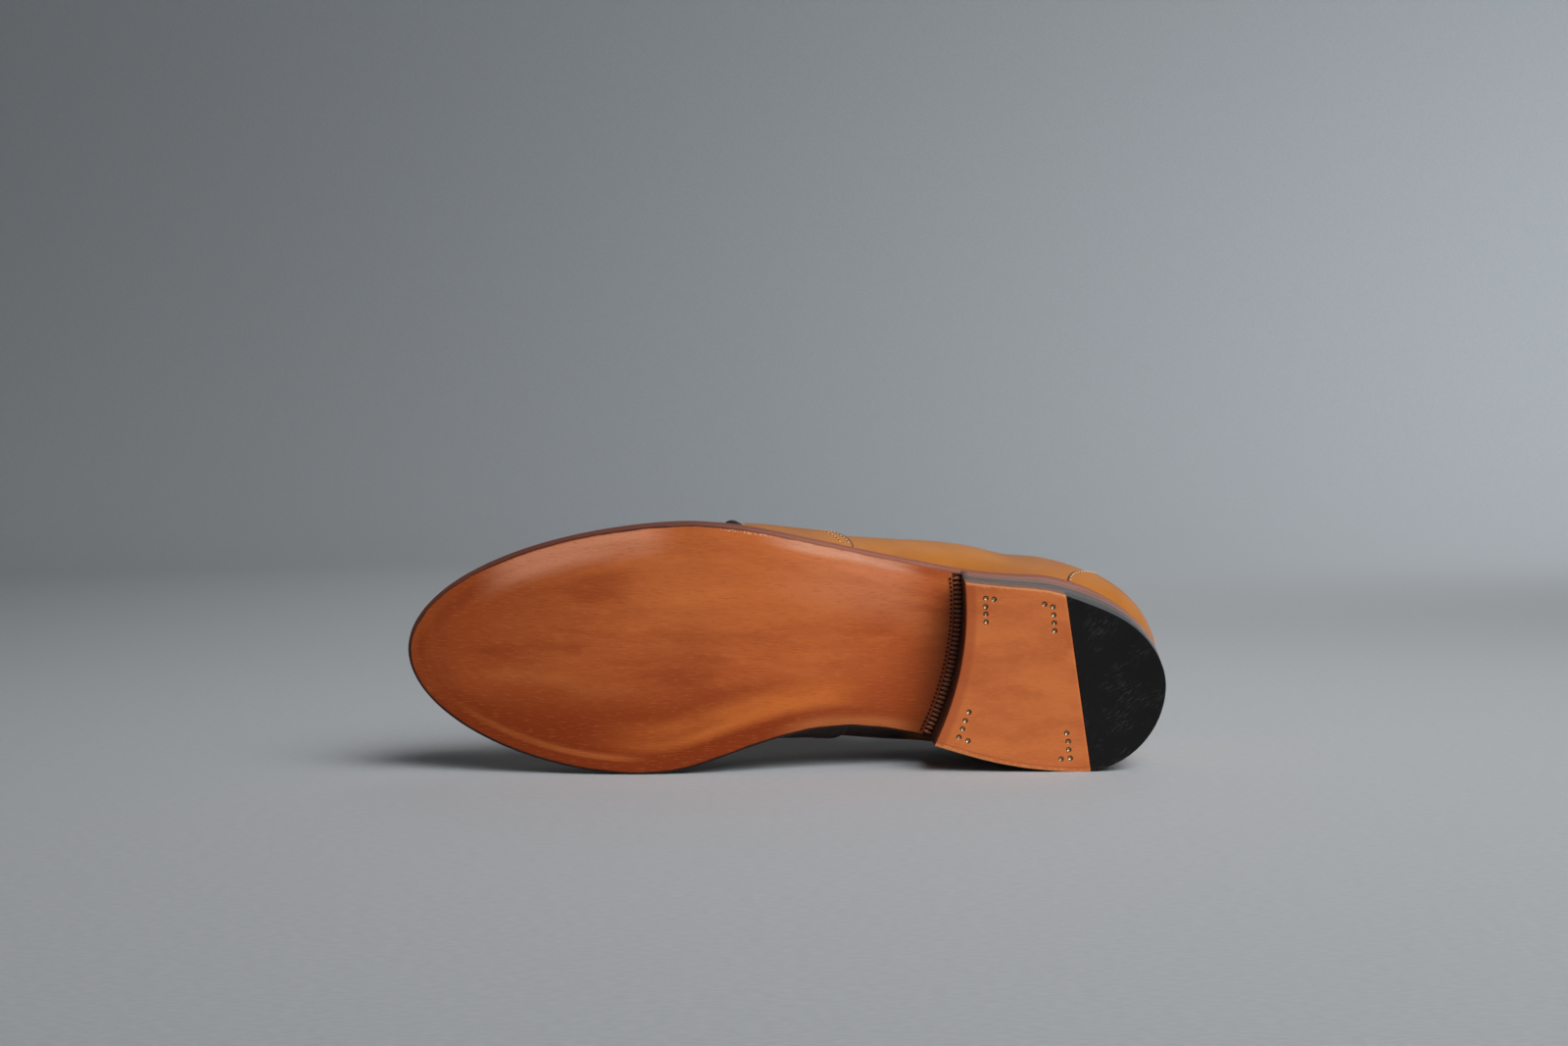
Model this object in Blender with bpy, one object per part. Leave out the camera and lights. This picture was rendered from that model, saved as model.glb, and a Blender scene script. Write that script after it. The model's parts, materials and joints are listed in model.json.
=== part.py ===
"""A college loafer for the left foot, lying on its inner side with the sole in view.

The shoe is worked out standing, in its own frame and in millimetres: X runs from the back of the
heel to the toe, Y to the outer (lateral) side and Z up from the tread. It is then turned onto its
inner side, so that the ball of the sole, the heel and the counter rest on the floor.
"""

import math
from collections import namedtuple

import bmesh
import bpy
import numpy as np
from mathutils import Matrix, Vector

MM = 0.001
MERGE = 0.01 * MM
LATERAL, MEDIAL = 1, -1

# Driving sizes, in millimetres
LENGTH = 307.0           # outsole, from the back of the seat to the toe
HEEL_BACK = 23.5         # underside of the seat above the tread, at the back
HEEL_FRONT = 20.3        # the same at the front of the seat
SEAT_LENGTH = 94.0
FLAT_START = 188.0       # the forefoot stands flat between these two stations
FLAT_END = 214.0
TOE_SPRING = 12.0
SOLE_THICK = 5.0
WELT_THICK = 2.6
INSOLE_THICK = 3.0
WALL = 2.2               # upper with its lining
GAP = 0.3                # between pieces that meet
LIFTS = 3
TOP_PIECE = 6.0
HEEL_CHAMFER = 0.6       # round the tread of the heel
BULGE_HEIGHT = 28.0      # where the walls stand out furthest, above the welt
THROAT = 131.0           # front end of the opening for the foot
STRAP_THICK = 1.4
COUNTER_THICK = 1.0
COUNTER_CLEAR = 0.45     # over the facets of the heel
TONGUE_THICK = 1.8
TONGUE_CLEAR = 1.05      # under the facets of the vamp
TONGUE_TIP = 103.0
TONGUE_ROOT = 158.0
TONGUE_HALF = 0.42       # half breadth, as a share of the way down the wall
TONGUE_ROUND = 0.3       # share of its length that the round tip takes
TONGUE_BLUNT = 0.99      # below 1 the tip keeps a small breadth
SEAM_THICK = 1.6
SHARP_ANGLE = math.radians(40)

# How far the heel draws in from the seat to the tread, from its back to its breast
HeelTaper = namedtuple("HeelTaper", "along lateral medial")
HEEL_TAPER = (
    HeelTaper(0, 2.3, 2.3),
    HeelTaper(14, 2.0, 2.0),
    HeelTaper(33, 3.1, 1.7),
    HeelTaper(56, 1.9, 1.7),
    HeelTaper(84, 1.6, 2.1),
)

# Edge profiles of the sole's layers from their lower face up: inset from the outline, and height
EdgeRow = namedtuple("EdgeRow", "inset height")
OUTSOLE_EDGE = (
    EdgeRow(1.0, 0),
    EdgeRow(0.3, 0.6),
    EdgeRow(0, 1.6),
    EdgeRow(0, SOLE_THICK - 0.6),
    EdgeRow(0.3, SOLE_THICK),
)
WELT_EDGE = (
    EdgeRow(0.2, 0),
    EdgeRow(0.2, WELT_THICK - 0.6),
    EdgeRow(0.8, WELT_THICK),
)
INSOLE_ROUND = 0.8

# How the loop round the shoe is divided: round heel, long sides, round toe
HEEL_ROUND = 60.0        # the heel's round stretch ends here
TOE_ROUND = 214.0        # the toe's round stretch starts here
HEEL_PIVOT = 38.0        # the ridge points that the round stretches turn about
TOE_PIVOT = 263.0
HEEL_STEPS, SIDE_STEPS, TOE_STEPS = 10, 22, 13
STEPS = HEEL_STEPS + SIDE_STEPS + TOE_STEPS
WALL_ROWS = 13

# How the other pieces are divided
HEEL_SIDE_STEPS, HEEL_CROSS_STEPS = 12, 8
STRAP_STEPS, STRAP_ROWS = 18, 7
COUNTER_STEPS, COUNTER_ROWS = 10, 9
TONGUE_STEPS, TONGUE_ROWS = 7, 12
SEAM_STEPS = 28
SLOT_STEPS = 10
CUT_ROUNDS, HALVINGS = 20, 24

# The outline of the sole: half breadths between the round ends
Edge = namedtuple("Edge", "along breadth")
LATERAL_EDGE = (
    Edge(54, 37.6),
    Edge(84, 39.2),
    Edge(120, 46.1),
    Edge(150, 52.5),
    Edge(172, 56.5),
    Edge(192, 57.8),
)
MEDIAL_EDGE = (
    Edge(36, 39.4),
    Edge(58, 38.4),
    Edge(74, 36.0),
    Edge(94, 31.0),
    Edge(113, 26.9),
    Edge(131, 25.3),
    Edge(151, 27.9),
    Edge(173, 35.0),
    Edge(195, 42.9),
    Edge(216, 45.2),
)
HEEL_MIDDLE = -2.8       # Y of the back of the seat
LATERAL_HEEL_FALL, MEDIAL_HEEL_FALL = 1.68, 2.0   # at 2 the heel's round end is an ellipse
TOE_MIDDLE = 1.0         # Y of the tip of the toe
Toe = namedtuple("Toe", "fall round")
LATERAL_TOE = Toe(1.65, 1.95)
MEDIAL_TOE = Toe(1.9, 1.95)

# The underside between the seat and the flat of the forefoot, and in front of it
Under = namedtuple("Under", "along height")
WAIST_UNDER = (
    Under(SEAT_LENGTH, HEEL_FRONT),
    Under(113, 14.8),
    Under(134, 8.4),
    Under(160, 2.5),
    Under(FLAT_START, 0),
)
TOE_UNDER = (
    Under(FLAT_END, 0),
    Under(244, 2.3),
    Under(274, 6.6),
    Under(LENGTH, TOE_SPRING),
)
SEAT_SLOPE = (HEEL_FRONT - HEEL_BACK) / SEAT_LENGTH
TOE_SLOPE = 0.18

# Sections of the last. ridge: height of the top line; lean: its Y; full: squareness of the wall;
# bulge: how far the wall stands out; rim: sole edge outside the wall
LastSection = namedtuple(
    "LastSection",
    "along ridge lean full_lateral full_medial bulge_lateral bulge_medial rim_lateral rim_medial")
LAST = (
    LastSection(HEEL_PIVOT, 124, -2.0, 2.9, 2.9, 3.7, 3.7, 1.8, 1.8),
    LastSection(47, 122, -1.5, 2.9, 2.85, 6.0, 3.6, 1.75, 1.75),
    LastSection(56, 120, -1.0, 2.9, 2.8, 5.2, 3.6, 1.7, 1.7),
    LastSection(75, 114, 0.0, 3.0, 2.7, 7.2, 5.2, 1.5, 1.5),
    LastSection(105, 102, 2.0, 2.8, 2.3, 6.2, 10.8, 1.6, 1.0),
    LastSection(130, 90, 3.5, 2.5, 2.1, 3.8, 11.5, 2.0, 1.0),
    LastSection(152, 79, 5.0, 2.3, 2.0, 3.2, 8.0, 3.2, 1.8),
    LastSection(175, 68, 5.5, 2.2, 2.0, 3.2, 3.0, 5.0, 4.0),
    LastSection(200, 58, 5.5, 2.1, 2.1, 0.4, 0.6, 6.0, 5.5),
    LastSection(225, 48.6, 4.0, 2.1, 2.1, 0.0, 0.0, 6.0, 5.6),
    LastSection(245, 44.2, 2.6, 2.1, 2.1, 0.0, 0.0, 5.9, 5.7),
    LastSection(TOE_PIVOT, 43, 1.6, 2.1, 2.1, 0.0, 0.0, 5.8, 5.8),
)

# Height of the collar above the tread, from the back of the heel to the throat
Collar = namedtuple("Collar", "along height")
COLLAR = (
    Collar(0, 89),
    Collar(25, 86.5),
    Collar(50, 81.5),
    Collar(78, 79),
    Collar(104, 82),
    Collar(THROAT, 89.4),
)

# Cuts across the heel: x = middle + slant * y + hollow * (y / HEEL_HALF) ** 2
Cut = namedtuple("Cut", "middle slant hollow")
HEEL_HALF = 36.0
BREAST = Cut(84.9, -0.176, 5.5)
TIP_JOINT = Cut(37.5, 0.19, 0.0)

# Edges of the strap and of the counter on the wall, from the welt (0) up to the ridge (1)
StrapEdge = namedtuple("StrapEdge", "rise rear front")
STRAP = (
    StrapEdge(0.0, 128, 174),
    StrapEdge(0.12, 134.5, 176.3),
    StrapEdge(0.35, 140, 178),
    StrapEdge(0.65, 141, 176),
    StrapEdge(1.0, 138, 171),
)
CounterEdge = namedtuple("CounterEdge", "rise front")
COUNTER = (
    CounterEdge(0.0, 39.5),
    CounterEdge(0.25, 31.5),
    CounterEdge(0.5, 26.5),
    CounterEdge(0.75, 20),
    CounterEdge(1.0, 10),
)
STRAP_FOOT = 0.02        # the strap starts this far up the wall, clear of the welt
COUNTER_FOOT, COUNTER_TOP = 0.02, 0.97  # shares of the way from the welt to the collar
APRON_HALF = 29.5        # half breadth of the apron, from the strap to where its round end starts
APRON_ROUND, APRON_TIP, APRON_POWER = 196.0, 274.0, 2.3
APRON_NARROW = 0.22      # how much it narrows for each millimetre back to the strap
SEAM_HALF = 0.028        # half breadth of the apron's seam, as a share of the way up the wall
SEAM_ROWS = (-1, -0.4, 0.4, 1)
SLOT_PLACE, SLOT_LENGTH, SLOT_WIDTH = 151.0, 30.0, 7.0
SLOT_REACH = 14.0        # how far the slot's cutter stands to either side of the strap

# Densities for the balance of the resting shoe, in grams per cubic centimetre
LEATHER, RUBBER = 0.95, 1.2


def smooth_curve(rows, first_slope=0.0, last_slope=0.0):
    """A curve with continuous bend through rows of (place, value), with the end slopes given."""
    place, value = np.array(rows, float).T
    step = np.diff(place)
    count = len(place)
    system = np.eye(count)
    target = np.full(count, first_slope)
    target[-1] = last_slope
    for i in range(1, count - 1):
        system[i, i - 1:i + 2] = 1 / step[i - 1], 2 / step[i - 1] + 2 / step[i], 1 / step[i]
        target[i] = 3 * ((value[i] - value[i - 1]) / step[i - 1] ** 2
                         + (value[i + 1] - value[i]) / step[i] ** 2)
    slope = np.linalg.solve(system, target)

    def at(x):
        x = min(max(x, place[0]), place[-1])
        i = min(int(np.searchsorted(place, x, side="right")) - 1, count - 2)
        h = step[i]
        t = (x - place[i]) / h
        return float((1 + 2 * t) * (1 - t) ** 2 * value[i] + t * (1 - t) ** 2 * h * slope[i]
                     + t * t * (3 - 2 * t) * value[i + 1] + t * t * (t - 1) * h * slope[i + 1])
    return at


def column(table, name):
    """One named column of a table as a smooth curve over its first column."""
    return smooth_curve([(row[0], getattr(row, name)) for row in table])


breadth_curve = {LATERAL: smooth_curve(LATERAL_EDGE), MEDIAL: smooth_curve(MEDIAL_EDGE)}
toe_form = {LATERAL: LATERAL_TOE, MEDIAL: MEDIAL_TOE}
heel_fall = {LATERAL: LATERAL_HEEL_FALL, MEDIAL: MEDIAL_HEEL_FALL}
heel_taper = {LATERAL: column(HEEL_TAPER, "lateral"), MEDIAL: column(HEEL_TAPER, "medial")}
waist_under = smooth_curve(WAIST_UNDER, SEAT_SLOPE, 0.0)
toe_under = smooth_curve(TOE_UNDER, 0.0, TOE_SLOPE)
ridge_height = column(LAST, "ridge")
ridge_lean = column(LAST, "lean")
fullness = {LATERAL: column(LAST, "full_lateral"), MEDIAL: column(LAST, "full_medial")}
bulge = {LATERAL: column(LAST, "bulge_lateral"), MEDIAL: column(LAST, "bulge_medial")}
rim = {LATERAL: column(LAST, "rim_lateral"), MEDIAL: column(LAST, "rim_medial")}
collar_height = column(COLLAR, "height")
strap_rear = column(STRAP, "rear")
strap_front = column(STRAP, "front")
counter_front = column(COUNTER, "front")


# The loop round the shoe: t runs from the back of the heel (0) to the toe (1) on each side
HEEL_SHARE = HEEL_STEPS / STEPS
TOE_SHARE = TOE_STEPS / STEPS
SIDE_SHARE = SIDE_STEPS / STEPS


def station(t):
    """The X of the sole's edge at t, and the X of the ridge point that its section runs to."""
    if t < HEEL_SHARE:
        part = t / HEEL_SHARE
        return HEEL_ROUND * (1 - math.cos(part * math.pi / 2)), HEEL_PIVOT + (HEEL_ROUND - HEEL_PIVOT) * part
    if t <= 1 - TOE_SHARE:
        x = HEEL_ROUND + (TOE_ROUND - HEEL_ROUND) * (t - HEEL_SHARE) / SIDE_SHARE
        return x, x
    part = (t - 1 + TOE_SHARE) / TOE_SHARE
    x = TOE_ROUND + (LENGTH - TOE_ROUND) * math.sin(part * math.pi / 2)
    return x, TOE_ROUND + (TOE_PIVOT - TOE_ROUND) * part


def place_of(x):
    """The t at which the loop passes station x."""
    if x < HEEL_ROUND:
        return math.acos(1 - x / HEEL_ROUND) / (math.pi / 2) * HEEL_SHARE
    if x <= TOE_ROUND:
        return HEEL_SHARE + (x - HEEL_ROUND) / (TOE_ROUND - HEEL_ROUND) * SIDE_SHARE
    return 1 - TOE_SHARE + math.asin((x - TOE_ROUND) / (LENGTH - TOE_ROUND)) / (math.pi / 2) * TOE_SHARE


def edge_y(side, x):
    """The Y of the sole's edge at station x."""
    table = LATERAL_EDGE if side == LATERAL else MEDIAL_EDGE
    first, last = table[0], table[-1]
    if x < first.along:
        share = (first.along - x) / first.along
        spread = math.sqrt(max(0.0, 1 - share ** heel_fall[side]))
        return HEEL_MIDDLE + (side * first.breadth - HEEL_MIDDLE) * spread
    if x <= last.along:
        return side * breadth_curve[side](x)
    toe = toe_form[side]
    share = min(1.0, (x - last.along) / (LENGTH - last.along))
    return TOE_MIDDLE + (side * last.breadth - TOE_MIDDLE) * (1 - share ** toe.fall) ** (1 / toe.round)


def edge_point(side, t):
    """A point of the sole's edge in plan; past either end the loop goes on along the other side."""
    if t < 0:
        side, t = -side, -t
    elif t > 1:
        side, t = -side, 2 - t
    x = station(t)[0]
    return np.array((x, edge_y(side, x)))


def inset_point(side, t, inset):
    """The edge point moved inwards in plan."""
    nearby = 0.004
    along = edge_point(side, t + nearby) - edge_point(side, t - nearby)
    inward = np.array((along[1], -along[0])) * side
    return edge_point(side, t) + inward / np.linalg.norm(inward) * inset


def underside(x):
    """The height of the sole's tread face above the tread plane."""
    if x < SEAT_LENGTH:
        return HEEL_BACK + SEAT_SLOPE * x
    if x < FLAT_START:
        return waist_under(x)
    return toe_under(x)


def feather_height(x):
    """The height of the lower edge of the upper, just above the welt."""
    return underside(x) + SOLE_THICK + GAP + WELT_THICK + GAP


def wall_point(side, t, rise):
    """A point of the upper's outer face: rise 0 at the welt, 1 on the ridge."""
    foot = station(t)[1]
    low = inset_point(side, t, rim[side](foot))
    low_height = feather_height(low[0])
    top = np.array((foot, ridge_lean(foot)))
    power = 2 / fullness[side](foot)
    angle = rise * math.pi / 2
    spread = max(0.0, math.cos(angle)) ** power
    lift = math.sin(angle) ** power
    height = lift * (ridge_height(foot) - low_height)
    outward = (low - top) / np.linalg.norm(low - top)
    share = height / BULGE_HEIGHT
    push = bulge[side](foot) * share * math.exp(1 - share) * math.sqrt(spread)
    plan = top + (low - top) * spread + outward * push
    return np.array((plan[0], plan[1], low_height + height))


def collar_rise(side, t):
    """How far up the wall the collar cuts it; 1 in front of the throat."""
    x, foot = station(t)
    if x >= THROAT:
        return 1.0
    low_height = feather_height(inset_point(side, t, rim[side](foot))[0])
    lift = (collar_height(x) - low_height) / (ridge_height(foot) - low_height)
    return 2 / math.pi * math.asin(min(1.0, lift) ** (fullness[side](foot) / 2))


def wall_normal(side, t, rise):
    """The outward normal of the upper's outer face."""
    step_t, step_rise = 0.003, 0.01
    before, after = max(t - step_t, 0.0), min(t + step_t, 1.0)
    lower, upper = max(rise - step_rise, 0.0), min(rise + step_rise, 1.0)
    along = wall_point(side, after, rise) - wall_point(side, before, rise)
    up = wall_point(side, t, upper) - wall_point(side, t, lower)
    normal = np.cross(up, along) * side
    return normal / np.linalg.norm(normal)


def laid_point(side, t, rise, depth):
    """A point at a distance outside the upper's outer face."""
    return wall_point(side, t, rise) + wall_normal(side, t, rise) * depth


def loop_stations():
    """Every (side, t) round the shoe: outer side to the toe, inner side back to the heel."""
    outer = [(LATERAL, i / STEPS) for i in range(STEPS + 1)]
    inner = [(MEDIAL, i / STEPS) for i in range(STEPS - 1, 0, -1)]
    return outer + inner


def add_object(name, points, faces, material):
    """A closed, outward-facing mesh object from points in millimetres."""
    mesh = bpy.data.meshes.new(name)
    work = bmesh.new()
    corners = [work.verts.new(Vector(point) * MM) for point in points]
    for face in faces:
        work.faces.new([corners[i] for i in face])
    bmesh.ops.remove_doubles(work, verts=work.verts, dist=MERGE)
    bmesh.ops.recalc_face_normals(work, faces=work.faces)
    work.to_mesh(mesh)
    work.free()
    mesh.materials.append(material)
    mesh.shade_smooth()
    mesh.set_sharp_from_angle(angle=SHARP_ANGLE)
    piece = bpy.data.objects.new(name, mesh)
    bpy.context.scene.collection.objects.link(piece)
    return piece


def side_faces(rows, count, ring):
    """Quads between consecutive rows of points; a ring closes each row on itself."""
    steps = count if ring else count - 1
    return [(r * count + i, r * count + (i + 1) % count,
             (r + 1) * count + (i + 1) % count, (r + 1) * count + i)
            for r in range(rows - 1) for i in range(steps)]


def strip_faces(start):
    """Faces across a loop, from each outer point to the inner point of the same station."""
    count = 2 * STEPS
    faces = [(start, start + 1, start + count - 1)]
    for i in range(1, STEPS - 1):
        faces.append((start + i, start + i + 1, start + count - i - 1, start + count - i))
    faces.append((start + STEPS - 1, start + STEPS, start + STEPS + 1))
    return faces


def layer_points(rows, base, margin):
    """Rows of points round the shoe; margin gives an extra inset for each (side, t)."""
    points = []
    for row in rows:
        for side, t in loop_stations():
            plan = inset_point(side, t, row.inset + margin(side, t))
            points.append((plan[0], plan[1], underside(plan[0]) + base + row.height))
    return points


def add_layer(name, rows, base, margin, material):
    """A sheet of the sole, with curved upper and lower faces."""
    count = 2 * STEPS
    points = layer_points(rows, base, margin)
    faces = side_faces(len(rows), count, True)
    faces += strip_faces(0) + strip_faces((len(rows) - 1) * count)
    return add_object(name, points, faces, material)


def no_margin(side, t):
    return 0.0


def wall_margin(side, t):
    return rim[side](station(t)[1])


def make_outsole(material):
    return add_layer("outsole", OUTSOLE_EDGE, 0.0, no_margin, material)


def make_welt(material):
    """A ring under the wall of the upper, with a rounded outer edge."""
    count = 2 * STEPS
    base = SOLE_THICK + GAP
    inner = (EdgeRow(WALL, WELT_THICK), EdgeRow(WALL, 0))
    points = layer_points(WELT_EDGE, base, no_margin) + layer_points(inner, base, wall_margin)
    rows = len(WELT_EDGE) + len(inner)
    faces = side_faces(rows, count, True)
    last = (rows - 1) * count
    faces += [(last + i, last + (i + 1) % count, (i + 1) % count, i) for i in range(count)]
    return add_object("welt", points, faces, material)


def make_insole(material):
    """The insole lies on the outsole, inside the welt and the wall of the upper."""
    thick = WELT_THICK + GAP + INSOLE_THICK
    inside = WALL + 2 * GAP
    rows = (EdgeRow(inside, 0), EdgeRow(inside, thick - INSOLE_ROUND), EdgeRow(inside + INSOLE_ROUND, thick))
    return add_layer("insole", rows, SOLE_THICK + GAP, wall_margin, material)


# One level of a heel layer: its height as a share of the way up to the seat plus an offset
Level = namedtuple("Level", "share offset chamfer")


def cut_x(cut, y):
    return cut.middle + cut.slant * y + cut.hollow * (y / HEEL_HALF) ** 2


def heel_point(side, t, level):
    """A point of the heel's wall in plan, drawn in from the seat by the taper and the chamfer."""
    taper = heel_taper[side](station(t)[0])
    height = TOP_PIECE + level.share * (HEEL_BACK - TOP_PIECE) + level.offset
    return inset_point(side, t, taper * (1 - height / HEEL_BACK) + level.chamfer)


def cut_place(cut, side, level):
    """The t at which a cut across the heel meets the heel's wall."""
    t = place_of(cut.middle)
    for _ in range(CUT_ROUNDS):
        t = place_of(cut_x(cut, heel_point(side, t, level)[1]))
    return t


def heel_outline(back, front, level):
    """A closed outline in plan: outer side forwards, the front cut, inner side back, the back cut."""
    ends = {}
    for side in (LATERAL, MEDIAL):
        first = cut_place(back, side, level) if back else 0.0
        ends[side] = first, cut_place(front, side, level)
    sides = {side: [heel_point(side, first + (last - first) * i / HEEL_SIDE_STEPS, level)
                    for i in range(HEEL_SIDE_STEPS + 1)]
             for side, (first, last) in ends.items()}

    def across(cut, start, end):
        reach = np.linspace(start[1], end[1], HEEL_CROSS_STEPS + 1)[1:-1]
        return [np.array((cut_x(cut, y), y)) for y in reach]

    outer, inner = sides[LATERAL], sides[MEDIAL]
    outline = outer + across(front, outer[-1], inner[-1]) + inner[::-1]
    if back:
        return outline + across(back, inner[0], outer[0])
    return outline[:-1]


def seat_share_height(x, share, offset):
    return TOP_PIECE + share * (HEEL_BACK + SEAT_SLOPE * x - TOP_PIECE) + offset


def add_heel_layer(name, back, front, levels, material):
    """A layer of the heel with flat faces, from its lowest level to its highest."""
    points = []
    for level in levels:
        outline = heel_outline(back, front, level)
        points += [(x, y, seat_share_height(x, level.share, level.offset)) for x, y in outline]
    count = len(points) // len(levels)
    faces = side_faces(len(levels), count, True)
    faces.append(tuple(range(count)))
    faces.append(tuple(range(len(points) - count, len(points))))
    return add_object(name, points, faces, material)


def make_heel_lifts(material):
    lifts = []
    for number in range(LIFTS):
        under_seat = number == LIFTS - 1
        levels = (Level(number / LIFTS, GAP / 2, 0),
                  Level((number + 1) / LIFTS, -GAP if under_seat else -GAP / 2, 0))
        lifts.append(add_heel_layer(f"heel_lift_{LIFTS - number}", None, BREAST, levels, material))
    return lifts


def shifted(cut, distance):
    return cut._replace(middle=cut.middle + distance)


def make_heel_tread(leather, rubber):
    """The leather top piece and the rubber tip behind it, both flat on the tread plane."""
    levels = (Level(0, -TOP_PIECE, HEEL_CHAMFER),
              Level(0, HEEL_CHAMFER - TOP_PIECE, 0),
              Level(0, -GAP / 2, 0))
    top_piece = add_heel_layer("top_piece", shifted(TIP_JOINT, GAP / 2), BREAST, levels, leather)
    tip = add_heel_layer("rubber_tip", None, shifted(TIP_JOINT, -GAP / 2), levels, rubber)
    return [top_piece, tip]


def wall_rows(side, t):
    """The points of one section of the upper's outer face, from the welt up."""
    top = collar_rise(side, t)
    return [wall_point(side, t, top * row / WALL_ROWS) for row in range(WALL_ROWS + 1)]


def make_upper(material):
    """Vamp and quarters: one wall, open at the collar and underneath."""
    stations = loop_stations()
    count = len(stations)
    points = [point for side, t in stations for point in wall_rows(side, t)]
    high = WALL_ROWS + 1
    faces = [(i * high + r, (i + 1) % count * high + r, (i + 1) % count * high + r + 1, i * high + r + 1)
             for i in range(count) for r in range(WALL_ROWS)]
    upper = add_object("upper", points, faces, material)
    wall = upper.modifiers.new("wall", "SOLIDIFY")
    wall.thickness = WALL * MM
    wall.offset = -1
    wall.use_even_offset = True
    return upper


def add_overlay(name, columns, inner, outer, material):
    """A sheet on the upper from columns of (side, t, rise), between two distances from its outer face."""
    rows = len(columns[0])
    points = []
    for depth in (inner, outer):
        points += [laid_point(side, t, rise, depth) for places in columns for side, t, rise in places]
    half = len(columns) * rows

    def at(layer, c, r):
        return layer * half + c * rows + r

    faces = []
    for c in range(len(columns) - 1):
        for r in range(rows - 1):
            quad = [(c, r), (c + 1, r), (c + 1, r + 1), (c, r + 1)]
            faces.append(tuple(at(0, *q) for q in quad))
            faces.append(tuple(at(1, *q) for q in reversed(quad)))
        for r in (0, rows - 1):
            faces.append((at(0, c, r), at(0, c + 1, r), at(1, c + 1, r), at(1, c, r)))
    for r in range(rows - 1):
        for c in (0, len(columns) - 1):
            faces.append((at(0, c, r), at(0, c, r + 1), at(1, c, r + 1), at(1, c, r)))
    return add_object(name, points, faces, material)


def cross_places(steps, rows, foot, rear, front):
    """Columns of places from the outer welt over the ridge to the inner welt."""
    columns = []
    for i in range(2 * steps + 1):
        side = LATERAL if i <= steps else MEDIAL
        rise = foot + (1 - foot) * (i if i <= steps else 2 * steps - i) / steps
        first, last = place_of(rear(rise)), place_of(front(rise))
        columns.append([(side, first + (last - first) * r / rows, rise) for r in range(rows + 1)])
    return columns


def make_strap(material):
    """The saddle strap, with a slot over the ridge."""
    columns = cross_places(STRAP_STEPS, STRAP_ROWS, STRAP_FOOT, strap_rear, strap_front)
    strap = add_overlay("saddle_strap", columns, GAP, GAP + STRAP_THICK, material)
    middle = wall_point(LATERAL, place_of(SLOT_PLACE), 1.0)
    cutter = add_object("slot_cutter", *slot_shape(middle), material)
    cutter.hide_render = True
    cutter.display_type = "WIRE"
    slot = strap.modifiers.new("slot", "BOOLEAN")
    slot.operation = "DIFFERENCE"
    slot.object = cutter
    return strap, cutter


def slot_shape(middle):
    """A lens standing through the strap, pointed at both ends of its length across the foot."""
    half_length, half_width = SLOT_LENGTH / 2, SLOT_WIDTH / 2
    angles = np.linspace(0, math.pi, SLOT_STEPS + 1)
    front = [(half_width * math.sin(angle) ** 2, half_length * math.cos(angle)) for angle in angles]
    outline = front + [(-x, y) for x, y in front[-2:0:-1]]
    points = [middle + np.array((x, y, z)) for z in (-SLOT_REACH, SLOT_REACH) for x, y in outline]
    count = len(outline)
    faces = side_faces(2, count, True)
    faces += [tuple(range(count)), tuple(range(count, 2 * count))]
    return points, faces


def make_counter(material):
    """The bell-shaped counter round the back of the heel."""
    columns = []
    for i in range(-COUNTER_STEPS, COUNTER_STEPS + 1):
        side = LATERAL if i >= 0 else MEDIAL
        places = []
        for share in np.linspace(0, 1, COUNTER_ROWS + 1):
            t = place_of(counter_front(share)) * abs(i) / COUNTER_STEPS
            rise = collar_rise(side, t) * (COUNTER_FOOT + (COUNTER_TOP - COUNTER_FOOT) * share)
            places.append((side, t, rise))
        columns.append(places)
    return add_overlay("heel_counter", columns, COUNTER_CLEAR, COUNTER_CLEAR + COUNTER_THICK, material)


def in_apron(x, y):
    """Whether a point in plan lies inside the apron of the vamp."""
    share = max(0.0, (x - APRON_ROUND) / (APRON_TIP - APRON_ROUND))
    if share >= 1:
        return False
    half = APRON_HALF * (1 - share ** APRON_POWER) ** (1 / APRON_POWER)
    half -= APRON_NARROW * max(0.0, APRON_ROUND - x)
    return abs(y - ridge_lean(x)) < half


def apron_rise(side, t):
    """How far up the wall the edge of the apron lies."""
    low, high = 0.0, 1.0
    for _ in range(HALVINGS):
        middle = (low + high) / 2
        if in_apron(*wall_point(side, t, middle)[:2]):
            high = middle
        else:
            low = middle
    return high


def make_apron_seam(material):
    """The raised seam round the apron, from the strap round the toe and back to the strap."""
    start = place_of(max(edge.front for edge in STRAP) + 2 * GAP)
    loop = [(LATERAL, t) for t in np.linspace(start, 1, SEAM_STEPS + 1)]
    loop += [(MEDIAL, t) for _, t in loop[-2::-1]]
    columns = []
    for side, t in loop:
        rise = apron_rise(side, t)
        columns.append([(side, t, rise + SEAM_HALF * row) for row in SEAM_ROWS])
    return add_overlay("apron_seam", columns, GAP, GAP + SEAM_THICK, material)


def make_tongue(material):
    """The tongue under the throat, following the inside of the upper up to its round tip."""
    columns = []
    for i in range(-TONGUE_STEPS, TONGUE_STEPS + 1):
        side = LATERAL if i >= 0 else MEDIAL
        places = []
        for share in np.linspace(0, 1, TONGUE_ROWS + 1):
            x = TONGUE_TIP + (TONGUE_ROOT - TONGUE_TIP) * share
            half = TONGUE_HALF * math.sqrt(1 - max(0.0, TONGUE_BLUNT - share / TONGUE_ROUND) ** 2)
            places.append((side, place_of(x), 1 - half * abs(i) / TONGUE_STEPS))
        columns.append(places)
    inner = -(WALL + TONGUE_CLEAR)
    return add_overlay("tongue", columns, inner - TONGUE_THICK, inner, material)


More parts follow.
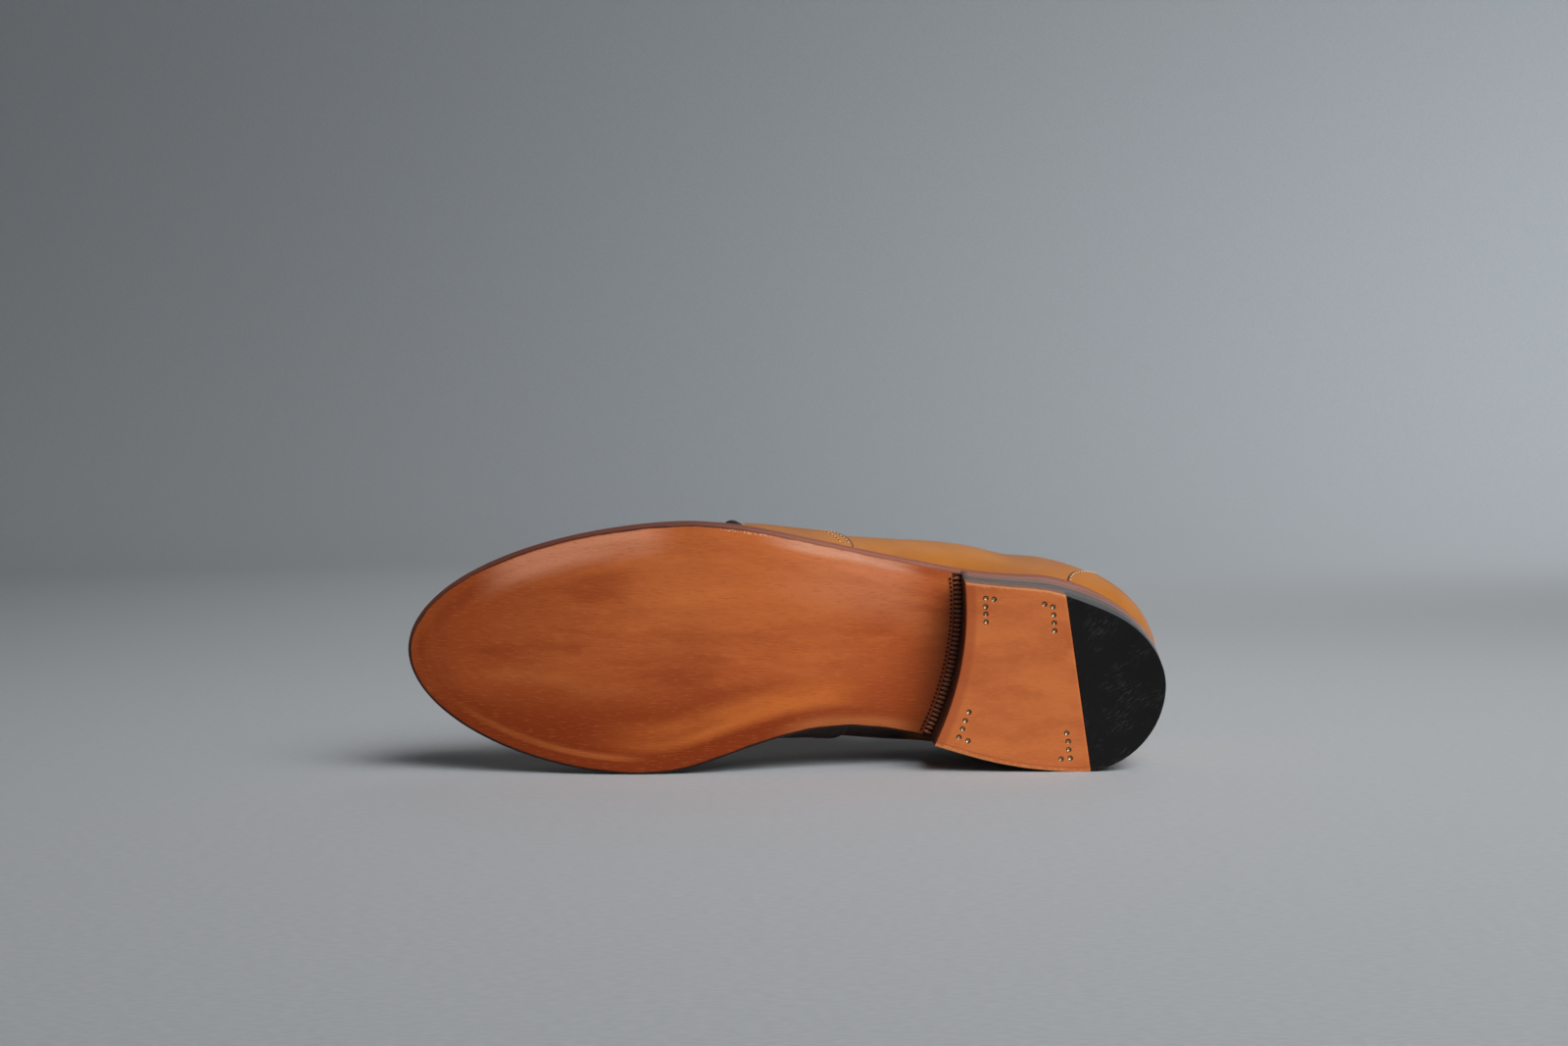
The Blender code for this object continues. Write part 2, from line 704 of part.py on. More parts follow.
def leather_material(name, colour, roughness):
    material = bpy.data.materials.new(name)
    material.use_nodes = True
    shader = material.node_tree.nodes["Principled BSDF"]
    shader.inputs["Base Color"].default_value = (*colour, 1)
    shader.inputs["Roughness"].default_value = roughness
    shader.inputs["Metallic"].default_value = 0.0
    return material


def make_materials():
    return {
        "tan_calf": leather_material("tan_calf", (0.50, 0.19, 0.05), 0.35),
        "sole_leather": leather_material("sole_leather", (0.45, 0.13, 0.035), 0.38),
        "edge_leather": leather_material("edge_leather", (0.13, 0.035, 0.02), 0.35),
        "lift_leather": leather_material("lift_leather", (0.20, 0.085, 0.045), 0.45),
        "lining": leather_material("lining", (0.52, 0.30, 0.14), 0.6),
        "rubber": leather_material("rubber", (0.012, 0.012, 0.013), 0.5),
    }


def make_pieces(materials):
    tan = materials["tan_calf"]
    strap, cutter = make_strap(tan)
    pieces = [make_outsole(materials["sole_leather"]), make_welt(materials["edge_leather"]),
              make_insole(materials["lining"]), make_upper(tan), strap, make_counter(tan),
              make_apron_seam(tan), make_tongue(tan)]
    pieces += make_heel_lifts(materials["lift_leather"])
    pieces += make_heel_tread(materials["sole_leather"], materials["rubber"])
    return pieces, cutter


def measured_mesh(piece):
    """The finished mesh of a piece, with its modifiers."""
    graph = bpy.context.evaluated_depsgraph_get()
    work = bmesh.new()
    work.from_object(piece, graph)
    bmesh.ops.triangulate(work, faces=work.faces)
    return work


def balance_point(pieces):
    """The centre of mass of the pieces, and all their points, in metres."""
    total, weighted, points = 0.0, Vector(), []
    for piece in pieces:
        work = measured_mesh(piece)
        density = RUBBER if piece.name == "rubber_tip" else LEATHER
        for face in work.faces:
            a, b, c = (corner.co for corner in face.verts)
            mass = density * a.dot(b.cross(c)) / 6
            total += mass
            weighted += mass * (a + b + c) / 4
        points += [corner.co.copy() for corner in work.verts]
        work.free()
    return weighted / total, points


def stands_over(corners, normal, point):
    """Whether a point lies over a triangle, seen along its normal."""
    turns = [(corners[(i + 1) % 3] - corners[i]).cross(point - corners[i]).dot(normal) for i in range(3)]
    return min(turns) >= 0


def resting_side(balance, points):
    """The outward normal of the flat that the shoe lies on, on its inner side."""
    hull = bmesh.new()
    for point in points:
        hull.verts.new(point)
    bmesh.ops.convex_hull(hull, input=hull.verts)
    bmesh.ops.triangulate(hull, faces=hull.faces)
    best = None
    for face in hull.faces:
        face.normal_update()
        if stands_over([corner.co for corner in face.verts], face.normal, balance):
            if best is None or face.normal.y < best.y:
                best = face.normal.copy()
    hull.free()
    return best


def resting_place(pieces):
    """The turn and shift that lay the shoe on its inner side, toe to -X and tread to -Y."""
    balance, points = balance_point(pieces)
    up = -resting_side(balance, points)
    back = Vector((0, 0, 1)) - up * up.z
    back.normalize()
    turn = Matrix((back.cross(up), back, up)).to_4x4()
    turned = [turn @ point for point in points]
    low = Vector(min(point[i] for point in turned) for i in range(3))
    high = Vector(max(point[i] for point in turned) for i in range(3))
    shift = Vector((-(low.x + high.x) / 2, -(low.y + high.y) / 2, -low.z))
    return Matrix.Translation(shift) @ turn


def main():
    for leftover in list(bpy.data.objects):
        bpy.data.objects.remove(leftover)
    pieces, cutter = make_pieces(make_materials())
    shoe = bpy.data.objects.new("shoe", None)
    bpy.context.scene.collection.objects.link(shoe)
    place = resting_place(pieces)
    for piece in pieces + [cutter]:
        piece.parent = shoe
    shoe.matrix_world = place


main()
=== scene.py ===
import json
import math
from collections import namedtuple

import bpy
import numpy as np
from mathutils import Matrix, Vector
from mathutils.kdtree import KDTree


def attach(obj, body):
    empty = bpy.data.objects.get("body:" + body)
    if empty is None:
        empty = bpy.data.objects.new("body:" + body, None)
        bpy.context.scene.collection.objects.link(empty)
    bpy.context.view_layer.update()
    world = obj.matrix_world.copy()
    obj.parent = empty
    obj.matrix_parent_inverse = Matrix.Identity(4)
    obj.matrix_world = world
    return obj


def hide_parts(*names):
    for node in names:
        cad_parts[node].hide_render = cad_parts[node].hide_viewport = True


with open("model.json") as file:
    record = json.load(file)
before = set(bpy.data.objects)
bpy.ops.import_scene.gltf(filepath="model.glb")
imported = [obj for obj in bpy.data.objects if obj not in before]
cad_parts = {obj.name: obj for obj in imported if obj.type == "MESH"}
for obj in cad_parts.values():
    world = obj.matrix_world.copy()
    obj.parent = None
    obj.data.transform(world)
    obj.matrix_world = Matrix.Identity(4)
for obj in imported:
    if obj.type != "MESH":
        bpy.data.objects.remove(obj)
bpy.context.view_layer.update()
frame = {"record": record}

# A left college loafer lying on its inner side, with its burnished leather sole in view.
# The shoe is worked out standing, in millimetres: X runs from the back of the heel to the toe,
# Y to the outer (lateral) side and Z up from the tread. Its two tread mounts say where it lies.

MM = 0.001
LATERAL, MEDIAL = 1, -1
SIDES = LATERAL, MEDIAL
BODY = "root"

# Driving sizes of the shoe, in millimetres
LENGTH = 307.0
HEEL_BACK, HEEL_FRONT = 23.5, 20.3
SEAT_LENGTH = 94.0
FLAT_START, FLAT_END = 188.0, 214.0
TOE_SPRING = 12.0
SOLE_THICK, WELT_THICK, INSOLE_THICK = 5.0, 2.6, 3.0
WALL, GAP = 2.2, 0.3
CALF_THICK, LINING_THICK = 1.35, 0.8
LIFTS, TOP_PIECE = 3, 6.0
BULGE_HEIGHT = 28.0
THROAT = 131.0
STRAP_THICK, COUNTER_THICK, TONGUE_THICK = 1.4, 0.75, 1.8
TONGUE_CLEAR = 1.05
FOOT_DROP = 0.6          # how far the leather of the upper goes down past the welt's top
TONGUE_TIP, TONGUE_ROOT = 103.0, 158.0
TONGUE_HALF, TONGUE_ROUND, TONGUE_BLUNT = 0.42, 0.3, 0.99
SEAM_THICK = 1.6

# The loop round the shoe: round heel, long sides, round toe
HEEL_ROUND, TOE_ROUND = 60.0, 214.0
HEEL_PIVOT, TOE_PIVOT = 38.0, 263.0
HEEL_SHARE, SIDE_SHARE, TOE_SHARE = 10 / 45, 22 / 45, 13 / 45
QUARTER = math.pi / 2

# How far the heel draws in from the seat to the tread, from its back to its breast
HeelTaper = namedtuple("HeelTaper", "along lateral medial")
HEEL_TAPER = (HeelTaper(0, 2.3, 2.3), HeelTaper(14, 2.0, 2.0), HeelTaper(33, 3.1, 1.7),
              HeelTaper(56, 1.9, 1.7), HeelTaper(84, 1.6, 2.1))

# Where the two tread mounts lie on the standing shoe
Spot = namedtuple("Spot", "along across")
HEEL_SPOT, FOREFOOT_SPOT = Spot(62.0, 0.0), Spot(201.0, 6.0)

# The photo's camera in the shoe's frame: place in millimetres, turn and tilt in degrees
CAMERA_PLACE = (160.7, 171.1, -852.9)
CAMERA_TURN, CAMERA_TILT = 1.943, 7.5
LENS, SENSOR = 50.0, 36.0

# Half breadths of the sole between its round ends
Edge = namedtuple("Edge", "along breadth")
SOLE_EDGE = {
    LATERAL: (Edge(54, 37.6), Edge(84, 39.2), Edge(120, 46.1), Edge(150, 52.5), Edge(172, 56.5),
              Edge(192, 57.8)),
    MEDIAL: (Edge(36, 39.4), Edge(58, 38.4), Edge(74, 36.0), Edge(94, 31.0), Edge(113, 26.9),
             Edge(131, 25.3), Edge(151, 27.9), Edge(173, 35.0), Edge(195, 42.9), Edge(216, 45.2)),
}
HEEL_MIDDLE, TOE_MIDDLE = -2.8, 1.0
HEEL_FALL = {LATERAL: 1.68, MEDIAL: 2.0}
Toe = namedtuple("Toe", "fall round")
TOE_FORM = {LATERAL: Toe(1.65, 1.95), MEDIAL: Toe(1.9, 1.95)}

# The underside between the seat and the flat of the forefoot, and in front of it
Under = namedtuple("Under", "along height")
WAIST_UNDER = (Under(SEAT_LENGTH, HEEL_FRONT), Under(113, 14.8), Under(134, 8.4), Under(160, 2.5),
               Under(FLAT_START, 0))
TOE_UNDER = (Under(FLAT_END, 0), Under(244, 2.3), Under(274, 6.6), Under(LENGTH, TOE_SPRING))
SEAT_SLOPE = (HEEL_FRONT - HEEL_BACK) / SEAT_LENGTH
TOE_SLOPE = 0.18

# Sections of the last. ridge: height of the top line; lean: its Y; full: squareness of the wall;
# bulge: how far the wall stands out; rim: sole edge outside the wall
LastSection = namedtuple(
    "LastSection",
    "along ridge lean full_lateral full_medial bulge_lateral bulge_medial rim_lateral rim_medial")
LAST = (
    LastSection(HEEL_PIVOT, 124, -2.0, 2.9, 2.9, 3.7, 3.7, 1.8, 1.8),
    LastSection(47, 122, -1.5, 2.9, 2.85, 6.0, 3.6, 1.75, 1.75),
    LastSection(56, 120, -1.0, 2.9, 2.8, 5.2, 3.6, 1.7, 1.7),
    LastSection(75, 114, 0.0, 3.0, 2.7, 7.2, 5.2, 1.5, 1.5),
    LastSection(105, 102, 2.0, 2.8, 2.3, 6.2, 10.8, 1.6, 1.0),
    LastSection(130, 90, 3.5, 2.5, 2.1, 3.8, 11.5, 2.0, 1.0),
    LastSection(152, 79, 5.0, 2.3, 2.0, 3.2, 8.0, 3.2, 1.8),
    LastSection(175, 68, 5.5, 2.2, 2.0, 3.2, 3.0, 5.0, 4.0),
    LastSection(200, 58, 5.5, 2.1, 2.1, 0.4, 0.6, 6.0, 5.5),
    LastSection(225, 48.6, 4.0, 2.1, 2.1, 0.0, 0.0, 6.0, 5.6),
    LastSection(245, 44.2, 2.6, 2.1, 2.1, 0.0, 0.0, 5.9, 5.7),
    LastSection(TOE_PIVOT, 43, 1.6, 2.1, 2.1, 0.0, 0.0, 5.8, 5.8),
)
Collar = namedtuple("Collar", "along height")
COLLAR = (Collar(0, 89), Collar(25, 86.5), Collar(50, 81.5), Collar(78, 79), Collar(104, 82),
          Collar(THROAT, 89.4))

# Cuts across the heel: x = middle + slant * y + hollow * (y / HEEL_HALF) ** 2
Cut = namedtuple("Cut", "middle slant hollow")
HEEL_HALF = 36.0
BREAST = Cut(84.9, -0.176, 5.5)
TIP_JOINT = Cut(37.5, 0.19, 0.0)

# Edges of the strap and of the counter on the wall, from the welt (0) up to the ridge (1)
StrapEdge = namedtuple("StrapEdge", "rise rear front")
STRAP = (StrapEdge(0.0, 128, 174), StrapEdge(0.12, 134.5, 176.3), StrapEdge(0.35, 140, 178),
         StrapEdge(0.65, 141, 176), StrapEdge(1.0, 138, 171))
CounterEdge = namedtuple("CounterEdge", "rise front")
COUNTER = (CounterEdge(0.0, 39.5), CounterEdge(0.25, 31.5), CounterEdge(0.5, 26.5), CounterEdge(0.75, 20),
           CounterEdge(1.0, 10))
COUNTER_TOP = 0.97
APRON_HALF, APRON_ROUND, APRON_TIP, APRON_POWER, APRON_NARROW = 29.5, 196.0, 274.0, 2.3, 0.22
SEAM_HALF = 0.03
SLOT_PLACE, SLOT_LENGTH, SLOT_WIDTH, SLOT_REACH = 151.0, 30.0, 7.0, 14.0

# Groups of nails in the heel's top leather: four in a run from start to end, and one beside it
NailGroup = namedtuple("NailGroup", "start_x start_y end_x end_y side_x side_y")
NAILS = (
    NailGroup(75.8, 31.2, 75.5, 21.7, 72.5, 31.1),
    NailGroup(49.2, 28.9, 47.7, 19.1, 52.4, 29.6),
    NailGroup(80.6, -14.7, 84.0, -25.4, 80.3, -26.6),
    NailGroup(41.0, -22.0, 39.1, -32.1, 42.6, -32.6),
)


# Curves of the last

def ramp(x, start, end):
    """0 at start and 1 at end, even between them and held beyond."""
    return np.clip((x - start) / (end - start), 0, 1)


def unit(vectors):
    return vectors / np.linalg.norm(vectors, axis=-1, keepdims=True)


def smooth_curve(rows, first_slope=0.0, last_slope=0.0):
    """A curve with continuous bend through rows of (place, value), with the end slopes given."""
    place, value = np.array(rows, float).T
    step = np.diff(place)
    count = len(place)
    system = np.eye(count)
    target = np.full(count, first_slope)
    target[-1] = last_slope
    for i in range(1, count - 1):
        system[i, i - 1:i + 2] = 1 / step[i - 1], 2 / step[i - 1] + 2 / step[i], 1 / step[i]
        target[i] = 3 * ((value[i] - value[i - 1]) / step[i - 1] ** 2
                         + (value[i + 1] - value[i]) / step[i] ** 2)
    slope = np.linalg.solve(system, target)

    def at(x):
        x = np.clip(x, place[0], place[-1])
        i = np.clip(np.searchsorted(place, x, side="right") - 1, 0, count - 2)
        h = step[i]
        t = (x - place[i]) / h
        return ((1 + 2 * t) * (1 - t) ** 2 * value[i] + t * (1 - t) ** 2 * h * slope[i]
                + t * t * (3 - 2 * t) * value[i + 1] + t * t * (t - 1) * h * slope[i + 1])
    return at


def column(table, name):
    return smooth_curve([(row[0], getattr(row, name)) for row in table])


def both_sides(name):
    return {LATERAL: column(LAST, name + "_lateral"), MEDIAL: column(LAST, name + "_medial")}


breadth = {side: smooth_curve(rows) for side, rows in SOLE_EDGE.items()}
waist_under = smooth_curve(WAIST_UNDER, SEAT_SLOPE, 0.0)
toe_under = smooth_curve(TOE_UNDER, 0.0, TOE_SLOPE)
ridge_height, ridge_lean = column(LAST, "ridge"), column(LAST, "lean")
fullness, bulge, rim = both_sides("full"), both_sides("bulge"), both_sides("rim")
collar_height = column(COLLAR, "height")
strap_rear, strap_front = column(STRAP, "rear"), column(STRAP, "front")
counter_front = column(COUNTER, "front")
heel_taper = {LATERAL: column(HEEL_TAPER, "lateral"), MEDIAL: column(HEEL_TAPER, "medial")}


# The loop's coordinate s runs from the toe (-1) along the inner side to the heel (0) and along the
# outer side back to the toe (1), and goes round again past either end.

def wrap(s):
    return (np.asarray(s, float) + 1) % 2 - 1


def by_side(curves, s, x):
    return np.where(wrap(s) >= 0, curves[LATERAL](x), curves[MEDIAL](x))


def station(s):
    """The X of the sole's edge at s, and the X of the ridge point that its section runs to."""
    t = np.abs(wrap(s))
    heel = np.clip(t / HEEL_SHARE, 0, 1)
    middle = np.clip((t - HEEL_SHARE) / SIDE_SHARE, 0, 1) * (TOE_ROUND - HEEL_ROUND)
    toe = np.clip((t - 1 + TOE_SHARE) / TOE_SHARE, 0, 1)
    x = HEEL_ROUND * (1 - np.cos(heel * QUARTER)) + middle + (LENGTH - TOE_ROUND) * np.sin(toe * QUARTER)
    foot = HEEL_PIVOT + (HEEL_ROUND - HEEL_PIVOT) * heel + middle + (TOE_PIVOT - TOE_ROUND) * toe
    return x, foot


def place_of(x):
    """The distance round the loop, from the heel (0) to the toe (1), at station x."""
    heel = np.arccos(1 - ramp(x, 0, HEEL_ROUND)) / QUARTER
    middle = ramp(x, HEEL_ROUND, TOE_ROUND)
    toe = np.arcsin(ramp(x, TOE_ROUND, LENGTH)) / QUARTER
    return HEEL_SHARE * heel + SIDE_SHARE * middle + TOE_SHARE * toe


def half_edge(side, x):
    """The Y of the sole's edge on one side."""
    first, last = SOLE_EDGE[side][0], SOLE_EDGE[side][-1]
    heel, toe = ramp(x, first.along, 0), ramp(x, last.along, LENGTH)
    form = TOE_FORM[side]
    y = HEEL_MIDDLE + (side * breadth[side](x) - HEEL_MIDDLE) * np.sqrt(1 - heel ** HEEL_FALL[side])
    return TOE_MIDDLE + (y - TOE_MIDDLE) * np.where(toe > 0, (1 - toe ** form.fall) ** (1 / form.round), 1)


def edge_point(s):
    s = wrap(s)
    x, _ = station(s)
    return np.stack((x, np.where(s >= 0, half_edge(LATERAL, x), half_edge(MEDIAL, x))), -1)


def inset_point(s, inset):
    """The edge point moved inwards in plan."""
    nearby = 0.004
    along = edge_point(s + nearby) - edge_point(s - nearby)
    inward = unit(np.stack((along[..., 1], -along[..., 0]), -1))
    return edge_point(s) + inward * np.asarray(inset, float)[..., None]


def seat_height(x):
    """The height of the sole's flat seat over the heel."""
    return HEEL_BACK + SEAT_SLOPE * x


def underside(x):
    """The height of the sole's tread face above the tread plane."""
    front = np.where(x < FLAT_START, waist_under(x), toe_under(x))
    return np.where(x < SEAT_LENGTH, seat_height(x), front)


def feather_height(x):
    """The height of the lower edge of the upper, just above the welt."""
    return underside(x) + SOLE_THICK + WELT_THICK + 2 * GAP


def wall_point(s, rise):
    """A point of the upper's outer face: rise 0 at the welt, 1 on the ridge."""
    _, foot = station(s)
    low = inset_point(s, by_side(rim, s, foot))
    low_height = feather_height(low[..., 0])
    top = np.stack((foot, ridge_lean(foot)), -1)
    power = 2 / by_side(fullness, s, foot)
    spread = np.maximum(np.cos(rise * QUARTER), 0) ** power
    height = np.sin(rise * QUARTER) ** power * (ridge_height(foot) - low_height)
    outward = unit(low - top)
    share = height / BULGE_HEIGHT
    push = by_side(bulge, s, foot) * share * np.exp(1 - share) * np.sqrt(spread)
    plan = top + (low - top) * spread[..., None] + outward * push[..., None]
    return np.stack((plan[..., 0], plan[..., 1], low_height + height), -1)


def collar_rise(s):
    """How far up the wall the collar cuts it; 1 in front of the throat."""
    x, foot = station(s)
    low_height = feather_height(inset_point(s, by_side(rim, s, foot))[..., 0])
    lift = ramp(collar_height(x), low_height, ridge_height(foot))
    rise = np.arcsin(lift ** (by_side(fullness, s, foot) / 2)) / QUARTER
    return np.where(x >= THROAT, 1.0, rise)


def wall_normal(s, rise):
    """The outward normal of the upper's outer face."""
    step_s, step_rise = 0.003, 0.01
    along = wall_point(s + step_s, rise) - wall_point(s - step_s, rise)
    up = (wall_point(s, np.minimum(rise + step_rise, 1.0))
          - wall_point(s, np.maximum(rise - step_rise, 0.0)))
    return unit(np.cross(up, along))


def laid_point(s, rise, depth):
    """A point at a distance outside the upper's outer face."""
    return wall_point(s, rise) + wall_normal(s, rise) * np.asarray(depth, float)[..., None]


def cut_x(cut, y):
    return cut.middle + cut.slant * y + cut.hollow * (y / HEEL_HALF) ** 2


def before_breast(points):
    """How far points lie in front of the heel's breast."""
    return points[:, 0] - cut_x(BREAST, points[:, 1])


# From the standing shoe to the place where it lies

def shoe_axes():
    """The shoe's own axes in the frame, and its origin in metres, from the two tread mounts."""
    mounts = {mount["name"]: mount for mount in frame["record"]["mounts"]}
    heel = Vector(mounts["heel_tread"]["pos_m"])
    run = (Vector(mounts["forefoot_tread"]["pos_m"]) - heel).normalized()
    up = -Vector(mounts["heel_tread"]["axis"]).normalized()
    turn = math.atan2(FOREFOOT_SPOT.across - HEEL_SPOT.across, FOREFOOT_SPOT.along - HEEL_SPOT.along)
    toe = math.cos(turn) * run - math.sin(turn) * up.cross(run)
    outer = up.cross(toe)
    origin = heel - MM * (HEEL_SPOT.along * toe + HEEL_SPOT.across * outer)
    return np.array((toe, outer, up)), np.array(origin)


AXES, ORIGIN = shoe_axes()


def lie_down(points):
    """Points of the standing shoe, in millimetres, where they lie in the frame, in metres."""
    return np.asarray(points, float) @ AXES * MM + ORIGIN


def stand_up(points):
    """The way back, from the frame to the standing shoe."""
    return (points - ORIGIN) @ AXES.T / MM


# Modelling steps

FAR_FROM_EDGE = 50.0
FLAT_CORNERS = 12        # faces with more corners than this are flat ends
MERGE, SLIVER = 0.004, 0.002     # points nearer, and edges shorter, than this are merged
SHARP, CREASE = 40, 35           # degrees past which an edge is rounded, or shaded as a crease
BEVEL_SEGMENTS = 2


def pick(*pieces):
    """Selects only these pieces; the first is active."""
    bpy.ops.object.select_all(action="DESELECT")
    for piece in pieces:
        piece.select_set(True)
    bpy.context.view_layer.objects.active = pieces[0]


def named(name):
    piece = bpy.context.object
    piece.name = piece.data.name = name
    return piece


def points_of(piece):
    flat = np.empty(len(piece.data.vertices) * 3, np.float32)
    piece.data.vertices.foreach_get("co", flat)
    return flat.reshape(-1, 3).astype(float)


def move_points(piece, points):
    """Sets a piece's points, given on the standing shoe, where they lie."""
    piece.data.vertices.foreach_set("co", lie_down(points).astype(np.float32).ravel())
    piece.data.update()


def lay_grid(name, columns, rows, place, border=None):
    """A grid laid by place(u, v), with u and v from 0 to 1; border gives its distance from a cut edge."""
    bpy.ops.mesh.primitive_grid_add(x_subdivisions=columns, y_subdivisions=rows, size=1)
    piece = named(name)
    u, v, _ = (points_of(piece) + 0.5).T
    move_points(piece, place(u, v))
    if border:
        mark(piece, "edge_mm", border(u, v))
    return piece


def weld(piece, outwards=False):
    """Merges points that meet; on a closed body the faces then turn outwards."""
    pick(piece)
    bpy.ops.object.mode_set(mode="EDIT")
    bpy.ops.mesh.select_all(action="SELECT")
    bpy.ops.mesh.remove_doubles(threshold=MERGE * MM)
    bpy.ops.mesh.dissolve_degenerate(threshold=SLIVER * MM)
    if outwards:
        bpy.ops.mesh.normals_make_consistent(inside=False)
    bpy.ops.object.mode_set(mode="OBJECT")
    return piece


def joined(name, *pieces):
    """Joins pieces that meet in one closed body."""
    pick(*pieces)
    bpy.ops.object.join()
    return weld(named(name), outwards=True)


def apply(piece, kind, **settings):
    """Adds a modifier, sets it and applies it."""
    pick(piece)
    bpy.ops.object.modifier_add(type=kind)
    modifier = piece.modifiers[-1]
    for name, value in settings.items():
        setattr(modifier, name, value)
    bpy.ops.object.modifier_apply(modifier=modifier.name)
    return piece


def thicken(piece, thickness):
    """Gives a sheet its thickness, inwards from its outer face."""
    return apply(piece, "SOLIDIFY", thickness=thickness * MM, offset=-1.0)


def soften(piece, width):
    """Rounds the sharp edges."""
    return apply(piece, "BEVEL", width=width * MM, segments=BEVEL_SEGMENTS, limit_method="ANGLE",
                 angle_limit=math.radians(SHARP), use_clamp_overlap=True)


def mark(piece, name, values):
    """A number, or a place, for each point, which the materials read."""
    values = np.asarray(values, np.float32)
    kind, field = ("FLOAT", "value") if values.ndim == 1 else ("FLOAT_VECTOR", "vector")
    layer = piece.data.attributes.new(name, kind, "POINT")
    layer.data.foreach_set(field, values.ravel())


def mark_whole(piece):
    """Marks a piece that shows no cut edge."""
    mark(piece, "edge_mm", np.full(len(piece.data.vertices), FAR_FROM_EDGE))
    return piece


def ready(piece, slot, materials, *nodes):
    """Smooth shading, materials, and the piece's place in the frame."""
    pick(piece)
    bpy.ops.object.shade_smooth_by_angle(angle=math.radians(CREASE))
    for face in piece.data.polygons:
        if face.loop_total > FLAT_CORNERS:
            face.use_smooth = False
    for material in materials:
        piece.data.materials.append(material)
    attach(piece, BODY)
    if nodes:
        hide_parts(*nodes)
    return piece


def even_places(points, pitch):
    """Places along a line of points, as fractional indices one pitch apart, clear of its ends."""
    length = np.concatenate(([0], np.cumsum(np.linalg.norm(np.diff(points, axis=0), axis=1))))
    count = max(2, int(length[-1] / pitch))
    return np.interp((np.arange(count) + 0.5) / count * length[-1], length, np.arange(len(points)))


def along_line(values, places):
    """Values at fractional places along a line."""
    index = np.arange(len(values))
    return np.stack([np.interp(places, index, values[:, i]) for i in range(values.shape[1])], 1)


def scatter(name, seed_points, seed_faces, centres, frames):
    """Copies of one small shape, each with its own points, joined in one piece."""
    points = np.einsum("pk,nkj->npj", seed_points, frames) + centres[:, None, :]
    count = len(seed_points)
    faces = [tuple(corner + i * count for corner in face)
             for i in range(len(centres)) for face in seed_faces]
    mesh = bpy.data.meshes.new(name)
    mesh.from_pydata(lie_down(points.reshape(-1, 3)).tolist(), [], faces)
    piece = bpy.data.objects.new(name, mesh)
    bpy.context.scene.collection.objects.link(piece)
    return piece


def as_seed(piece):
    """The points and faces of a helper shape, which is then removed."""
    points = points_of(piece)
    faces = [tuple(face.vertices) for face in piece.data.polygons]
    bpy.data.objects.remove(piece)
    return points, faces


def bead_seed(segments=8, rings=5):
    """A unit ball, to be stretched into stitches, awl holes, ribs, pricks and nail heads."""
    bpy.ops.mesh.primitive_uv_sphere_add(segments=segments, ring_count=rings, radius=1)
    return as_seed(named("seed"))


def line_frames(points, normals, places, size):
    """Centres and axes of beads along a line: size gives their half length, breadth and height."""
    nearby = 0.3
    centre = along_line(points, places)
    ahead = along_line(points, np.minimum(places + nearby, len(points) - 1))
    along = unit(ahead - along_line(points, np.maximum(places - nearby, 0)))
    across = unit(np.cross(along_line(normals, places), along))
    up = np.cross(along, across)
    return centre, np.stack((along * size[0], across * size[1], up * size[2]), 1)


Stitch = namedtuple("Stitch", "pitch half_length half_breadth half_height")
FINE_STITCH = Stitch(2.4, 0.82, 0.36, 0.3)
WELT_STITCH = Stitch(3.0, 1.15, 0.42, 0.36)
WELT_SEWN_FROM = 160.0
HOLE_SIZE = 0.46, 0.42, 0.14


def beads_along(name, lines, pitch, size, start=0.0, ball=()):
    """Beads one pitch apart along lines of (points, normals), moved on by a share of the pitch."""
    parts = []
    for points, normals in lines:
        places = even_places(points, pitch)
        places += start * (places[1] - places[0])
        parts.append(line_frames(points, normals, places, size))
    centres, frames = (np.concatenate(part) for part in zip(*parts))
    return scatter(name, *bead_seed(*ball), centres, frames)


def sew(name, lines, stitch, thread, hole):
    """Stitches along lines, and dark beads between them that paint the shade in the awl holes."""
    size = stitch.half_length, stitch.half_breadth, stitch.half_height
    # The stitches get the same painted shade along the inner waist
    ready(mark_painted_shade(beads_along(name + "_stitches", lines, stitch.pitch, size)), "thread", [thread])
    # Painted shade: dark beads where the awl holes are
    ready(beads_along(name + "_holes", lines, stitch.pitch, HOLE_SIZE, start=0.5), "tan_calf", [hole])


def wall_line(s, rise, depth):
    """Points at a distance outside the wall, and its normals there."""
    return laid_point(s, rise, depth), wall_normal(s, rise)


# Sole, welt and insole

LOOP_STEPS = 480
WELT_BASE = SOLE_THICK + GAP
RING = 14.0              # the tread's rings reach this far in from the edge
FIELD_COLUMNS = 26
EDGE_ROUND, ROUND_ROWS = 1.5, 7
EDGE_MIDDLE, TOP_CORNER = 3.0, 0.5
EDGE_SAMPLES = 4000
SIDE_START = 4.0         # points higher than this over the tread lie on the side of the sole
CROWN = ((0, 0.9), (90, 1.2), (125, 2.3), (160, 1.2), (200, 0.7), (LENGTH, 0.6))
CHANNEL_INSET, CHANNEL_DEPTH, CHANNEL_HALF, CHANNEL_ROWS = 7.4, 0.09, 0.35, 7
CHANNEL_SPREAD, CHANNEL_FADE = 0.6 * CHANNEL_HALF, 3.0
SOCK_ROUND, SOCK_CROWN = 1.2, 0.1
crown_height = smooth_curve(CROWN)


def loop_at(u):
    """The loop's coordinate for u from 0 to 1: from the toe round the heel and back to the toe."""
    return 1 - 2 * u


